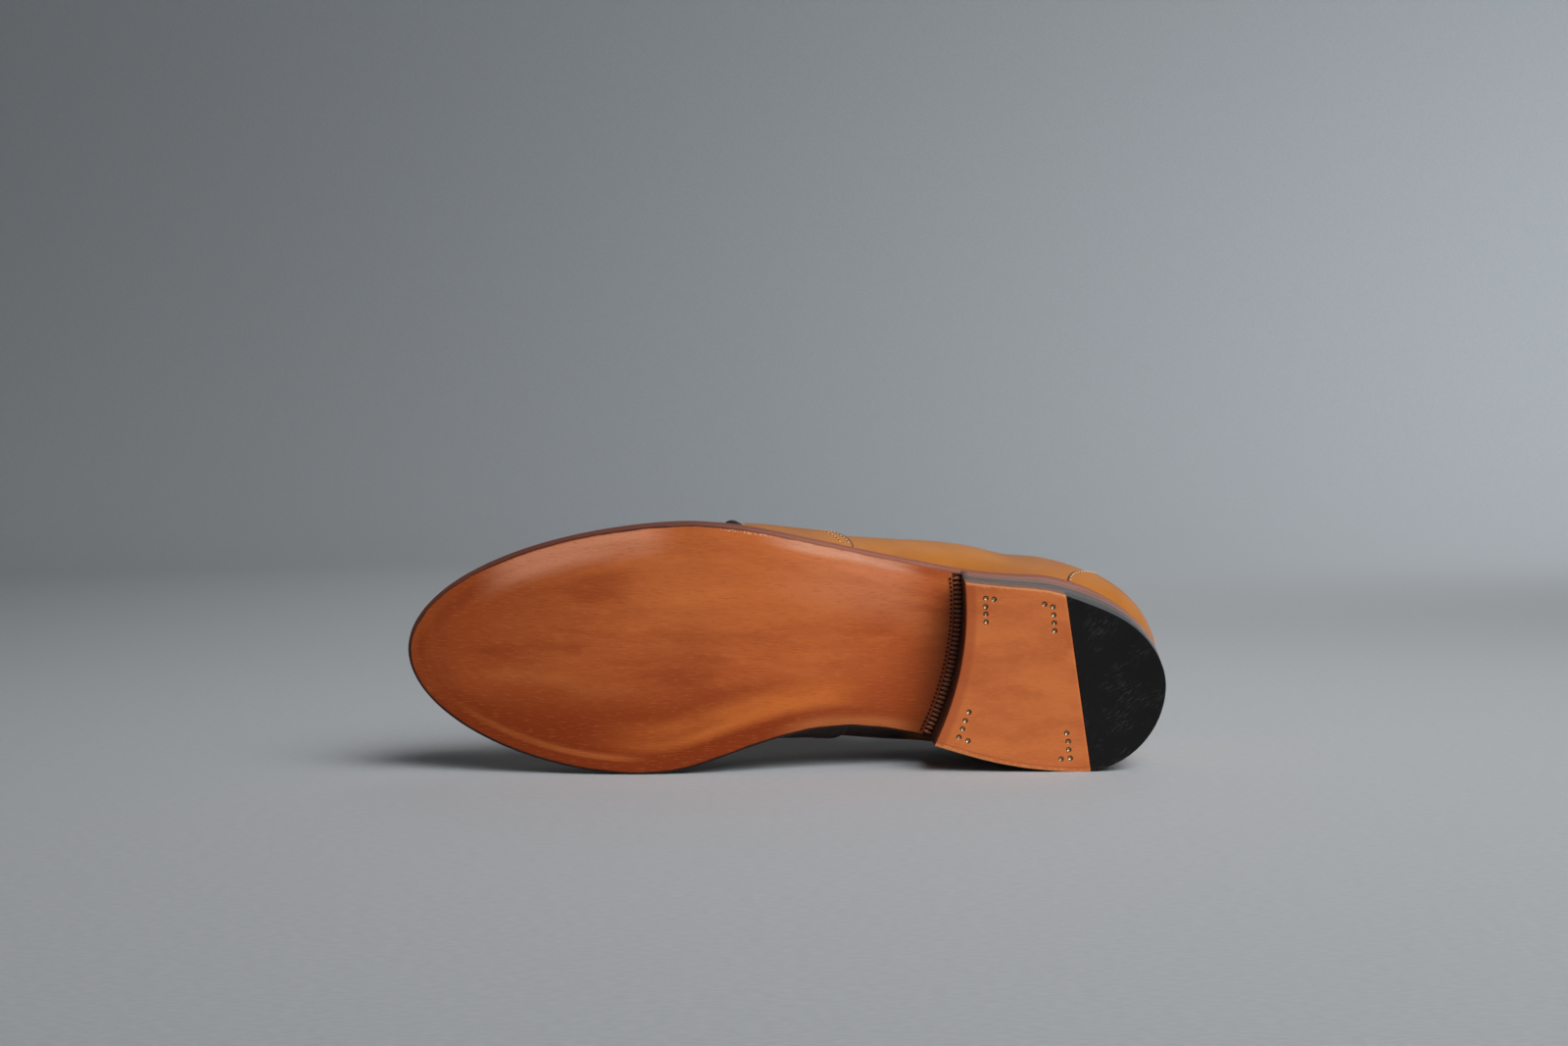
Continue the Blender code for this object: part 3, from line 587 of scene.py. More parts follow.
def tread_rows():
    """Rows of (inset, height) of the outsole, from inside the tread round the edge to its top."""
    inner = np.concatenate((np.linspace(RING, CHANNEL_INSET + 2 * CHANNEL_HALF, CHANNEL_ROWS),
                            CHANNEL_INSET + CHANNEL_HALF * np.array((1, 0, -1)),
                            np.linspace(CHANNEL_INSET - 2 * CHANNEL_HALF, EDGE_ROUND, CHANNEL_ROWS)))
    rows = [(inset, 0.0) for inset in inner]
    for angle in np.linspace(0, QUARTER, ROUND_ROWS)[1:]:
        rows.append((EDGE_ROUND * (1 - math.sin(angle)), EDGE_ROUND * (1 - math.cos(angle))))
    chamfer = 0.3 * TOP_CORNER
    rows += [(0.0, EDGE_MIDDLE), (0.0, SOLE_THICK - TOP_CORNER), (chamfer, SOLE_THICK - chamfer),
             (TOP_CORNER, SOLE_THICK), (RING, SOLE_THICK)]
    return np.array(rows)


def channel_depth(s, inset):
    """The shut channel of the sole's seam, which shows along the inner side only."""
    inner_side = np.clip(np.sin(-math.pi * wrap(s)) * CHANNEL_FADE, 0, 1)
    return CHANNEL_DEPTH * inner_side * np.exp(-((inset - CHANNEL_INSET) / CHANNEL_SPREAD) ** 2)


def layer_point(s, inset, base, height, margin=0.0):
    """A point of a layer that follows the sole: its inset from the edge and its height over the base."""
    plan = inset_point(s, inset + margin)
    return np.concatenate((plan, (underside(plan[..., 0]) + base + height)[..., None]), -1)


def no_margin(s):
    """For layers that are measured from the sole's own edge, all round."""
    return 0.0


def ring_piece(name, rows, base, margin=no_margin, crowned=False):
    """Rows of (inset, height) swept round the whole loop."""
    last = len(rows) - 1

    def place(u, v):
        row = rows[np.rint(v * last).astype(int)]
        s = loop_at(u)
        inset, height = row[:, 0], row[:, 1]
        if crowned:
            lift = crown_height(station(s)[0]) * np.clip(1 - inset / RING, 0, 1) ** 2
            height = height + lift * np.clip(1 - height / SOLE_THICK, 0, 1)
            height = height + channel_depth(s, inset) * (row[:, 1] == 0)
        return layer_point(s, inset, base, height, margin(s))
    return lay_grid(name, LOOP_STEPS, last, place)


def field_piece(name, inset, base, height, margin=no_margin):
    """The field inside a ring, from the outer side across to the inner side."""
    def place(u, v):
        outer, inner = (layer_point(s, inset, base, height, margin(s)) for s in (u, -u))
        return outer + (inner - outer) * v[:, None]
    return lay_grid(name, LOOP_STEPS // 2, FIELD_COLUMNS, place)


def wall_margin(s):
    """How far the upper's wall stands in from the sole's edge."""
    return by_side(rim, s, station(s)[1])


def edge_facts(points, outline):
    """How far points lie from an outline in plan, and the number of its nearest point."""
    tree = KDTree(len(outline))
    for i, (x, y) in enumerate(outline):
        tree.insert((x, y, 0), i)
    tree.balance()
    found = [tree.find((x, y, 0)) for x, y in points[:, :2]]
    return np.array([hit[2] for hit in found]), np.array([hit[1] for hit in found])


def make_outsole(finish):
    """The leather sole, with what its finish needs to know of each point."""
    ring = ring_piece("tread_ring", tread_rows(), 0.0, crowned=True)
    tread = field_piece("tread_field", RING, 0.0, 0.0)
    top = field_piece("tread_top", RING, 0.0, SOLE_THICK)
    sole = joined("leather_sole", ring, tread, top)
    points = stand_up(points_of(sole))
    s = np.linspace(-1, 1, EDGE_SAMPLES, endpoint=False)
    distance, nearest = edge_facts(points, edge_point(s))
    height = points[:, 2] - underside(points[:, 0])
    mark(sole, "edge_mm", np.where(height > SIDE_START, 0.0, distance))
    turn, radius = math.pi * s[nearest], LENGTH / 2
    mark(sole, "round_mm", np.column_stack((distance, radius * np.cos(turn), radius * np.sin(turn))))
    mark(sole, "breast_mm", before_breast(points))
    mark(sole, "plan_mm", points)
    return ready(sole, "sole_leather", [finish], "outsole")


# Rows of (inset, height) of the welt: the first from the sole's edge, the others from the upper's wall
WELT_OUTER = (0.55, 0), (0.25, 0.25), (0.2, 1.2), (0.2, 1.8), (0.4, 2.35), (0.8, WELT_THICK)
WELT_INNER = (0.2, WELT_THICK), (WALL, WELT_THICK), (WALL, 0)


def make_welt(finish):
    """The welt's ring, with its outer edges rounded."""
    rows = np.array(WELT_OUTER + WELT_INNER)

    def place(u, v):
        index = np.rint(v * len(rows)).astype(int) % len(rows)
        s = loop_at(u)
        inset, height = rows[index].T
        margin = np.where(index < len(WELT_OUTER), 0.0, wall_margin(s))
        return layer_point(s, inset, WELT_BASE, height, margin)
    welt = weld(lay_grid("welt_strip", LOOP_STEPS, len(rows), place), outwards=True)
    return ready(welt, "edge_leather", [finish], "welt")


def make_insole(finish):
    """The sock over the insole, with a soft edge against the wall."""
    thick = WELT_THICK + GAP + INSOLE_THICK
    inside = WALL + 2 * GAP
    rows = np.array([(RING, 0), (inside, 0), (inside, thick - SOCK_ROUND),
                     (inside + SOCK_ROUND / 4, thick - SOCK_ROUND / 3), (inside + SOCK_ROUND, thick),
                     (RING, thick + SOCK_CROWN)])
    ring = ring_piece("sock_ring", rows, WELT_BASE, wall_margin)
    low = field_piece("sock_low", RING, WELT_BASE, 0.0, wall_margin)
    high = field_piece("sock_high", RING, WELT_BASE, thick + SOCK_CROWN, wall_margin)
    return ready(joined("sock_lining", ring, low, high), "lining", [finish], "insole")


# Heel

WALL_POINTS, CUT_POINTS = 150, 40
CUT_ROUNDS = 20          # rounds in which the search for a cut's ends settles
HEEL_RIM = 0.22
HEEL_REACH, HEEL_SAMPLES = 0.34, 3000    # the heel's wall on the loop, both ways from its back
TREAD_FACING = 0.35      # faces that turn to the tread less than this are on a side

# A level of the heel: a share of the way from the top piece up to the seat, and an offset in millimetres
Level = namedtuple("Level", "share offset")


def level_height(level, x):
    """The height of a level above the tread plane."""
    return TOP_PIECE + level.share * (seat_height(x) - TOP_PIECE) + level.offset


def heel_point(s, level):
    """A point of the heel's wall in plan, drawn in from the seat by the taper."""
    taper = by_side(heel_taper, s, station(s)[0])
    return inset_point(s, taper * (1 - level_height(level, 0.0) / HEEL_BACK))


def cut_place(cut, side, level):
    """The s at which a cut across the heel meets the heel's wall."""
    s = side * place_of(cut.middle)
    for _ in range(CUT_ROUNDS):
        s = side * place_of(cut_x(cut, heel_point(s, level)[..., 1]))
    return s


def cut_line(cut, start, end):
    """Points of a cut between two points of the wall, without those two."""
    y = np.linspace(start[1], end[1], CUT_POINTS + 1)[1:-1]
    return np.stack((cut_x(cut, y), y), 1)


def heel_outline(front, level):
    """A closed outline in plan: the wall round the heel, and the cut in front of it."""
    ends = (cut_place(front, side, level) for side in (MEDIAL, LATERAL))
    wall = heel_point(np.linspace(*ends, WALL_POINTS), level)
    return np.concatenate((wall, cut_line(front, wall[-1], wall[0])))


def heel_layer(name, front, low, high):
    """A cylinder shaped to the heel's outline at its lower and upper level, with rounded rims."""
    outlines = [heel_outline(front, level) for level in (low, high)]
    count = len(outlines[0])
    bpy.ops.mesh.primitive_cylinder_add(vertices=count, radius=1, depth=2)
    piece = named(name)
    start = points_of(piece)
    index = np.rint(np.arctan2(start[:, 1], start[:, 0]) / (2 * math.pi) * count).astype(int) % count
    shaped = np.empty_like(start)
    for outline, level, chosen in zip(outlines, (low, high), (start[:, 2] < 0, start[:, 2] > 0)):
        plan = outline[index[chosen]]
        shaped[chosen] = np.column_stack((plan, level_height(level, plan[:, 0])))
    move_points(piece, shaped)
    return soften(weld(piece, outwards=True), HEEL_RIM)


BLOCK_ALONG, BLOCK_ACROSS, BLOCK_UP = 46, 64, 3


def block_row(cut, level, v):
    """Points of a cut across the heel, from its outer wall (v = 0) to its inner wall (v = 1)."""
    outer, inner = (heel_point(cut_place(cut, side, level), level)[..., 1] for side in SIDES)
    y = outer + (inner - outer) * v
    x = cut_x(cut, y)
    return np.stack((x, y, level_height(level, x)), -1)


def heel_block(name, back, front, low, high):
    """A block of the heel between two cuts, all its faces gridded, with rounded rims."""
    def point(u, v, w):
        cut = Cut(*(first + (last - first) * u for first, last in zip(back, front)))
        under, over = block_row(cut, low, v), block_row(cut, high, v)
        return under + (over - under) * w[..., None]

    def face(label, columns, rows, along, across, up):
        def place(a, b):
            given = {"a": a, "b": b, 0: np.zeros_like(a), 1: np.ones_like(a)}
            return point(given[along], given[across], given[up])
        return lay_grid(label, columns, rows, place)
    faces = [face("block_tread", BLOCK_ALONG, BLOCK_ACROSS, "a", "b", 0),
             face("block_top", BLOCK_ALONG, BLOCK_ACROSS, "a", "b", 1),
             face("block_outer", BLOCK_ALONG, BLOCK_UP, "a", 0, "b"),
             face("block_inner", BLOCK_ALONG, BLOCK_UP, "a", 1, "b"),
             face("block_back", BLOCK_ACROSS, BLOCK_UP, 0, "a", "b"),
             face("block_front", BLOCK_ACROSS, BLOCK_UP, 1, "a", "b")]
    return soften(joined(name, *faces), HEEL_RIM)


def make_lifts(finish):
    """The stacked lifts, the lowest first."""
    for number in range(LIFTS):
        top_gap = -GAP if number == LIFTS - 1 else -GAP / 4
        low, high = Level(number / LIFTS, GAP / 4), Level((number + 1) / LIFTS, top_gap)
        lift = heel_layer(f"heel_stack_{LIFTS - number}", BREAST, low, high)
        points = stand_up(points_of(lift))
        mark(lift, "stack", (points[:, 2] - TOP_PIECE) / (seat_height(points[:, 0]) - TOP_PIECE))
        mark(lift, "breast_mm", before_breast(points))
        ready(lift, "lift_leather", [finish], f"heel_lift_{LIFTS - number}")


NAIL_RUN, NAIL_STRAY = 4, 0.2    # nails in a run, and how far each stands out of line
NAIL_RADIUS, NAIL_CUP, NAIL_SUNK, NAIL_TILT, NAIL_BACK = 0.88, 0.42, 0.25, 0.3, 0.4
NAIL_BALL = 18, 10
HOLE_MOUTH, HOLE_FOOT, HOLE_DEPTH, HOLE_SIDES = 1.2, 0.74, 0.8, 20
STRAY_DRAW, TILT_DRAW = 7, 11    # seeds of the random draws


def nail_places():
    """Where the nails stand in the top leather, a little out of line as hammered by hand."""
    draw = np.random.default_rng(STRAY_DRAW)
    places = []
    for group in NAILS:
        start, end, beside = np.reshape(group, (3, 2))
        places += [start + (end - start) * share for share in np.linspace(0, 1, NAIL_RUN)]
        places.append(beside)
    return np.array(places) + draw.uniform(-NAIL_STRAY, NAIL_STRAY, (len(places), 2))


def cut_away(piece, cutter):
    """Cuts one piece with another, which is then removed."""
    apply(piece, "BOOLEAN", operation="DIFFERENCE", object=cutter)
    bpy.data.objects.remove(cutter)


def ground_frames(lean, breadth):
    """Axes for copies that stand on the tread facing down, each leaning a little its own way."""
    one, none = np.ones(len(lean)), np.zeros(len(lean))
    first = np.stack((one, none, lean[:, 0]), 1)
    second = np.stack((none, -one, lean[:, 1]), 1)
    return np.stack((first * breadth, second * breadth, np.cross(first, second)), 1)


def drill_seed():
    """A cone that opens a hole wider at the tread than at its foot."""
    bpy.ops.mesh.primitive_cone_add(vertices=HOLE_SIDES, radius1=HOLE_FOOT,
                                    radius2=2 * HOLE_MOUTH - HOLE_FOOT, depth=2 * HOLE_DEPTH)
    return as_seed(named("drill"))


def cup_seed():
    """A nail's head, hammered to a shallow cup with a sharp rim, and how far out each point lies."""
    points, faces = bead_seed(*NAIL_BALL)
    reach = np.minimum(np.hypot(points[:, 0], points[:, 1]), 1)
    back = np.where(points[:, 2] < 0, NAIL_BACK, 0.0) * np.sqrt(1 - reach ** 2)
    points[:, 2] = -NAIL_CUP * (1 - reach ** 2) - back
    return points, faces, reach


def make_nails(leather, brass):
    """Holes in the top leather, and the nails in them."""
    places = nail_places()
    centres = np.column_stack((places, np.zeros(len(places))))
    upright = np.zeros((len(places), 2))
    cut_away(leather, scatter("nail_holes", *drill_seed(), centres, ground_frames(upright, 1.0)))
    points, faces, reach = cup_seed()
    lean = np.random.default_rng(TILT_DRAW).uniform(-NAIL_TILT, NAIL_TILT, (len(places), 2))
    frames = ground_frames(lean, NAIL_RADIUS)
    nails = scatter("heel_nails", points, faces, centres + (0, 0, NAIL_SUNK), frames)
    mark(nails, "cup", np.tile(reach, len(places)))
    ready(nails, "nail_brass", [brass])


def make_heel_tread(leather_face, leather_side, rubber_face, rubber_side, brass):
    """The nailed leather top piece and the rubber tip behind it."""
    low, high = Level(0, -TOP_PIECE), Level(0, -GAP / 4)
    before, behind = (TIP_JOINT._replace(middle=TIP_JOINT.middle + gap) for gap in (GAP / 4, -GAP / 4))
    front = heel_block("heel_top_leather", before, BREAST, low, high)
    tip = heel_layer("heel_top_rubber", behind, low, high)
    make_nails(front, brass)
    wall = heel_point(np.linspace(-HEEL_REACH, HEEL_REACH, HEEL_SAMPLES), low)
    for piece, face, side, slot, node in ((front, leather_face, leather_side, "sole_leather", "top_piece"),
                                          (tip, rubber_face, rubber_side, "rubber", "rubber_tip")):
        points = stand_up(points_of(piece))
        mark(piece, "breast_mm", before_breast(points))
        mark(piece, "edge_mm", edge_facts(points, wall)[0])
        mark(piece, "plan_mm", points)
        ready(piece, slot, [face, side], node)
        dress_sides(piece)


def dress_sides(piece):
    """Gives the faces that stand upright on the tread the second material."""
    down = Vector(-AXES[2])
    for face in piece.data.polygons:
        face.material_index = 0 if face.normal.dot(down) > TREAD_FACING else 1


# Wheeled band and pricked line along the breast

BAND_INNER, BAND_OUTER, BAND_POINTS = -29.5, 37.2, 400
BAND_AT, PRICK_AT = 1.8, 4.6     # distances of the two lines in front of the breast
RIB_PITCH, PRICK_PITCH = 1.92, 1.74
RIB_SIZE, PRICK_SIZE = (0.66, 1.75, 0.5), (0.60, 0.54, 0.16)
RIB_BALL = 10, 7


def breast_line(distance):
    """A line on the sole's underside, at a distance in front of the breast, with its normals."""
    y = np.linspace(BAND_INNER, BAND_OUTER, BAND_POINTS)
    slope = BREAST.slant + 2 * BREAST.hollow * y / HEEL_HALF ** 2
    ahead = unit(np.stack((np.ones_like(y), -slope), 1))
    plan = np.stack((cut_x(BREAST, y), y), 1) + ahead * distance
    step = 0.5
    fall = (underside(plan[:, 0] + step) - underside(plan[:, 0] - step)) / (2 * step)
    normals = unit(np.stack((fall, np.zeros_like(fall), -np.ones_like(fall)), 1))
    return np.column_stack((plan, underside(plan[:, 0]))), normals


def make_breast_band(rib_finish, prick_shade):
    """The ribs of the wheel, set across their band, and the pricks in front of them, near-black beads that
    paint the shade in their pits.
    """
    ribs = beads_along("wheeled_ribs", [breast_line(BAND_AT)], RIB_PITCH, RIB_SIZE, ball=RIB_BALL)
    ready(ribs, "sole_leather", [rib_finish])
    # The pricks: painted shade of small pits
    pricks = beads_along("prick_marks", [breast_line(PRICK_AT)], PRICK_PITCH, PRICK_SIZE)
    ready(pricks, "sole_leather", [prick_shade])


# Upper, lining and collar

UPPER_COLUMNS, UPPER_ROWS = 400, 52
FOOT_ROW = 1e-4          # points that rise less than this are in a sheet's lowest row
LINING_CLEAR = 0.04
BINDING_RADIUS, BINDING_POINTS, TUBE_SIDES = 1.15, 300, 12
COLLAR_SEAM, COLLAR_SEAM_POINTS, COLLAR_SEAM_CLEAR = 0.045, 400, 0.05
THROAT_CLEAR = 0.002
# Where painted shade darkens the calf along the inner waist, in millimetres
SHADE_START, SHADE_END, SHADE_FADE = 84.0, 198.0, 22.0
SHADE_FULL, SHADE_RISE = 1.5, 20.0


def lowered(points, rise):
    """Lets the lowest row of a sheet down past the top of the welt."""
    points[:, 2] -= FOOT_DROP * (rise < FOOT_ROW)
    return points


def wall_sheet(name):
    """The outer face of the whole wall, from the welt up to the collar or the ridge."""
    def place(u, v):
        s = loop_at(u)
        return lowered(wall_point(s, collar_rise(s) * v), v)
    return weld(lay_grid(name, UPPER_COLUMNS, UPPER_ROWS, place))


def mark_painted_shade(piece):
    """Where painted shade darkens the calf: along the welt of the inner waist."""
    x, y, z = stand_up(points_of(piece)).T
    low = np.clip(SHADE_FULL - (z - feather_height(x)) / SHADE_RISE, 0, 1)
    start = ramp(x, SHADE_START, SHADE_START + SHADE_FADE)
    end = ramp(x, SHADE_END, SHADE_END - SHADE_FADE)
    # The burnish attribute holds this painted shade
    mark(piece, "burnish", low * start * end * (y < 0))
    return piece


def make_upper(calf, lining):
    """The hollow wall of vamp and quarters: calf outside, lining inside."""
    # Painted shade on the calf along the welt of the inner waist
    upper = mark_painted_shade(mark_whole(thicken(wall_sheet("calf_upper"), CALF_THICK)))
    ready(upper, "tan_calf", [calf], "upper")
    inner = apply(wall_sheet("upper_lining"), "DISPLACE", direction="NORMAL", mid_level=0.0,
                  strength=-(CALF_THICK + LINING_CLEAR) * MM)
    ready(thicken(inner, LINING_THICK), "lining", [lining])


def end_taper(i, last):
    """0 at the two ends of a line, where a bead closes, and 1 between them."""
    return np.where((i == 0) | (i == last), 0.0, 1.0)


def tube(name, points, normals, height, breadth):
    """A bead along a line, with closed ends: half its height and half its breadth, for each point."""
    across = unit(np.cross(normals, unit(np.gradient(points, axis=0))))
    last = len(points) - 1

    def place(u, v):
        i = np.rint(u * last).astype(int)
        angle = 2 * math.pi * v
        taper = end_taper(i, last)
        return (points[i] + across[i] * (taper * breadth[i] * np.cos(angle))[:, None]
                + normals[i] * (taper * height[i] * np.sin(angle))[:, None])
    return weld(lay_grid(name, last, TUBE_SIDES, place), outwards=True)


def collar_line(count, drop=0.0):
    """Loop places and rises along the collar, or a share of the wall below it."""
    throat = place_of(THROAT) - THROAT_CLEAR
    s = np.linspace(throat, -throat, count)
    return s, collar_rise(s) * (1 - drop)


def make_collar(calf, dark, thread):
    """The binding over the collar's edge, and the stitches below it."""
    s, rise = collar_line(BINDING_POINTS)
    points, normals = wall_line(s, rise, -WALL / 2)
    radius = np.full(len(s), BINDING_RADIUS)
    ready(mark_whole(tube("collar_binding", points, normals, radius, radius)), "tan_calf", [calf])
    s, rise = collar_line(COLLAR_SEAM_POINTS, COLLAR_SEAM)
    sew("collar", [wall_line(s, rise, COLLAR_SEAM_CLEAR)], FINE_STITCH, thread, dark)


# Strap, counter, apron seam and tongue

ROLL_HEIGHT, ROLL_BREADTH, ROLL_DEPTH = 1.3, 2.2, 1.5   # of the strap's front roll, by the outer welt
ROLL_SLIM = 0.85                                        # half its height and breadth over the instep
ROLL_FULL, ROLL_FADE, ROLL_AHEAD = 0.42, 0.7, 0.4
ROLL_RUN, STRAP_SEWN, COUNTER_SEWN = (0.01, 0.99), (0.02, 1.0), (0.01, 0.97)
STRAP_SEAMS = (1.7, "rear"), (5.2, "rear"), (3.2, "front")      # insets of the stitches from its edges
STRAP_GRID, COUNTER_GRID, TONGUE_GRID = (160, 48), (140, 70), (48, 60)
STRAP_EDGE, COUNTER_EDGE, TONGUE_EDGE = 0.3, 0.2, 0.35          # how far their cut edges are rounded
STRAP_CLEAR, COUNTER_CLEAR, THREAD_CLEAR = 0.05, 0.03, 0.02
SKIVE_RISE, SKIVE_LEFT = 0.12, 0.5
LINE_POINTS = 200


def round_the_toe(x, count):
    """Loop places from station x on the outer side round the toe to the same x on the inner side."""
    start = place_of(x)
    return start + np.linspace(0, 1, count) * (2 - 2 * start)


def leather_sheet(name, grid, thick, place, border=None):
    """A sheet laid by place(u, v), with its thickness inwards."""
    return thicken(weld(lay_grid(name, *grid, place, border)), thick)


def skived(rise, thick):
    """Leather pared thinner towards the welt, where it is drawn in under the upper."""
    share = ramp(rise, 0, SKIVE_RISE)
    return thick * (SKIVE_LEFT + (1 - SKIVE_LEFT) * share * share * (3 - 2 * share))


def strap_places(u):
    """Side and rise across the strap, from the outer welt over the ridge to the inner welt."""
    return np.where(u <= 0.5, LATERAL, MEDIAL), 1 - np.abs(2 * u - 1)


def strap_body():
    """The strap's leather, with its slot."""
    def place(u, v):
        side, rise = strap_places(u)
        rear, front = place_of(strap_rear(rise)), place_of(strap_front(rise))
        depth = STRAP_CLEAR + skived(rise, STRAP_THICK)
        return lowered(laid_point(side * (rear + (front - rear) * v), rise, depth), rise)

    def border(u, v):
        _, rise = strap_places(u)
        return np.minimum(v, 1 - v) * (strap_front(rise) - strap_rear(rise))
    strap = leather_sheet("saddle", STRAP_GRID, STRAP_THICK, place, border)
    cut_away(strap, slot_cutter())
    # Painted shade on the strap where it comes down by the inner waist
    return mark_painted_shade(soften(strap, STRAP_EDGE))


def strap_roll():
    """The rolled front edge of the strap, thicker by the outer welt."""
    side, rise = strap_places(np.linspace(*ROLL_RUN, LINE_POINTS))
    points, normals = wall_line(side * place_of(strap_front(rise) + ROLL_AHEAD), rise, ROLL_DEPTH)
    slim = np.where(side == LATERAL, ramp(rise, ROLL_FULL, ROLL_FADE), 1.0)
    height = ROLL_HEIGHT + (ROLL_SLIM - ROLL_HEIGHT) * slim
    breadth = ROLL_BREADTH + (ROLL_SLIM - ROLL_BREADTH) * slim
    return tube("saddle_front_roll", points, normals, height, breadth)


def strap_line(inset, edge, side):
    """A line of stitches beside one edge of the strap, from the welt to the ridge."""
    rise = np.linspace(*STRAP_SEWN, LINE_POINTS)
    x = strap_rear(rise) + inset if edge == "rear" else strap_front(rise) - inset
    depth = STRAP_CLEAR + THREAD_CLEAR + skived(rise, STRAP_THICK)
    return wall_line(side * place_of(x), rise, depth)


def slot_cutter():
    """A lens standing through the strap, pointed at both ends of its length across the foot."""
    count = 64
    bpy.ops.mesh.primitive_cylinder_add(vertices=count, radius=1, depth=2)
    cutter = named("slot")
    start = points_of(cutter)
    width = np.sign(start[:, 0]) * start[:, 0] ** 2 * SLOT_WIDTH / 2
    middle = wall_point(np.array(place_of(SLOT_PLACE)), np.array(1.0))
    shaped = np.column_stack((width, start[:, 1] * SLOT_LENGTH / 2, start[:, 2] * SLOT_REACH)) + middle
    move_points(cutter, shaped)
    return weld(cutter, outwards=True)


def make_strap(calf, dark, thread):
    """The saddle strap over the instep, with its slot, its rolled front edge and its stitches."""
    ready(strap_body(), "tan_calf", [calf], "saddle_strap")
    # The roll's near black is partly the strap's inked edge, partly painted shade
    ready(strap_roll(), "tan_calf", [dark])
    lines = [strap_line(inset, edge, side) for inset, edge in STRAP_SEAMS for side in SIDES]
    sew("saddle", lines, FINE_STITCH, thread, dark)


def counter_place(reach, share):
    """Loop place and rise on the counter: reach from -1 to 1 across it, share up it."""
    s = reach * place_of(counter_front(share))
    return s, collar_rise(s) * COUNTER_TOP * share


COUNTER_REACH, COUNTER_RISE = 62.0, 60.0   # about half its breadth round the heel, and its height
COUNTER_SEAM = 0.982


def counter_line(side):
    """A line of stitches beside one front edge of the counter."""
    s, rise = counter_place(side * COUNTER_SEAM, np.linspace(*COUNTER_SEWN, LINE_POINTS))
    return wall_line(s, rise, COUNTER_CLEAR + THREAD_CLEAR + skived(rise, COUNTER_THICK))


def make_counter(calf, dark, thread):
    """The bell-shaped counter round the back of the heel."""
    def place(u, v):
        s, rise = counter_place(1 - 2 * u, v)
        return lowered(laid_point(s, rise, COUNTER_CLEAR + skived(rise, COUNTER_THICK)), v)

    def border(u, v):
        return np.minimum((1 - np.abs(1 - 2 * u)) * COUNTER_REACH, (1 - v) * COUNTER_RISE)
    counter = leather_sheet("counter_patch", COUNTER_GRID, COUNTER_THICK, place, border)
    ready(soften(counter, COUNTER_EDGE), "tan_calf", [calf], "heel_counter")
    sew("counter", [counter_line(side) for side in SIDES], FINE_STITCH, thread, dark)


SEAM_STEPS, SEAM_SIDES, SEAM_UNDER = 320, 16, 0.3
APRON_ROUNDS = 24        # halvings in the search for the apron's edge
APRON_STITCH = Stitch(3.4, 1.25, 0.34, 0.3)
APRON_SLANT, APRON_SUNK = 62, 0.1


def in_apron(x, y):
    """Whether points in plan lie inside the apron of the vamp."""
    share = ramp(x, APRON_ROUND, APRON_TIP)
    half = APRON_HALF * (1 - share ** APRON_POWER) ** (1 / APRON_POWER)
    half = half - APRON_NARROW * np.maximum(0, APRON_ROUND - x)
    return (share < 1) & (np.abs(y - ridge_lean(x)) < half)


def apron_rise(s):
    """How far up the wall the edge of the apron lies."""
    low, high = np.zeros(np.shape(s)), np.ones(np.shape(s))
    for _ in range(APRON_ROUNDS):
        middle = (low + high) / 2
        inside = in_apron(*np.moveaxis(wall_point(s, middle)[..., :2], -1, 0))
        high = np.where(inside, middle, high)
        low = np.where(inside, low, middle)
    return high


def make_apron_seam(calf, thread):
    """The raised hand-sewn seam round the apron, from the strap round the toe and back."""
    s = round_the_toe(max(edge.front for edge in STRAP) + 2 * GAP, SEAM_STEPS + 1)
    rise = apron_rise(s)

    def place(u, v):
        i = np.rint(u * SEAM_STEPS).astype(int)
        angle = 2 * math.pi * v
        taper = end_taper(i, SEAM_STEPS)
        depth = SEAM_THICK * np.sin(angle) * np.where(np.sin(angle) > 0, 1.0, SEAM_UNDER)
        return laid_point(s[i], rise[i] + SEAM_HALF * taper * np.cos(angle), depth * taper)
    ridge = weld(lay_grid("apron_ridge", SEAM_STEPS, SEAM_SIDES, place), outwards=True)
    ready(mark_whole(ridge), "tan_calf", [calf], "apron_seam")
    sew_over_ridge(*wall_line(s, rise, SEAM_THICK), thread)


def sew_over_ridge(points, normals, thread):
    """Thread bars over the apron's ridge, aslant as sewn by hand."""
    places = even_places(points, APRON_STITCH.pitch)
    centres, frames = line_frames(points, normals, places, (1, 1, 1))
    slant, up = math.radians(APRON_SLANT), frames[:, 2]
    along = frames[:, 0] * math.cos(slant) + frames[:, 1] * math.sin(slant)
    across = frames[:, 1] * math.cos(slant) - frames[:, 0] * math.sin(slant)
    bars = np.stack((along * APRON_STITCH.half_length, across * APRON_STITCH.half_breadth,
                     up * APRON_STITCH.half_height), 1)
    ready(scatter("apron_stitches", *bead_seed(), centres - up * APRON_SUNK, bars), "thread", [thread])


def make_tongue(calf):
    """The tongue under the throat, following the inside of the upper up to its round tip."""
    def place(u, v):
        x = TONGUE_TIP + (TONGUE_ROOT - TONGUE_TIP) * v
        half = TONGUE_HALF * np.sqrt(1 - np.maximum(0.0, TONGUE_BLUNT - v / TONGUE_ROUND) ** 2)
        side = np.where(u <= 0.5, LATERAL, MEDIAL)
        rise = 1 - half * np.abs(2 * u - 1)
        return laid_point(side * place_of(x), rise, -(WALL + TONGUE_CLEAR))
    tongue = leather_sheet("tongue_flap", TONGUE_GRID, TONGUE_THICK, place)
    ready(mark_whole(soften(tongue, TONGUE_EDGE)), "tan_calf", [calf], "tongue")


WELT_LINE_POINTS = 900
WELT_SEAM = 0.55         # where the stitches lie on the welt's ledge, as a share of its breadth


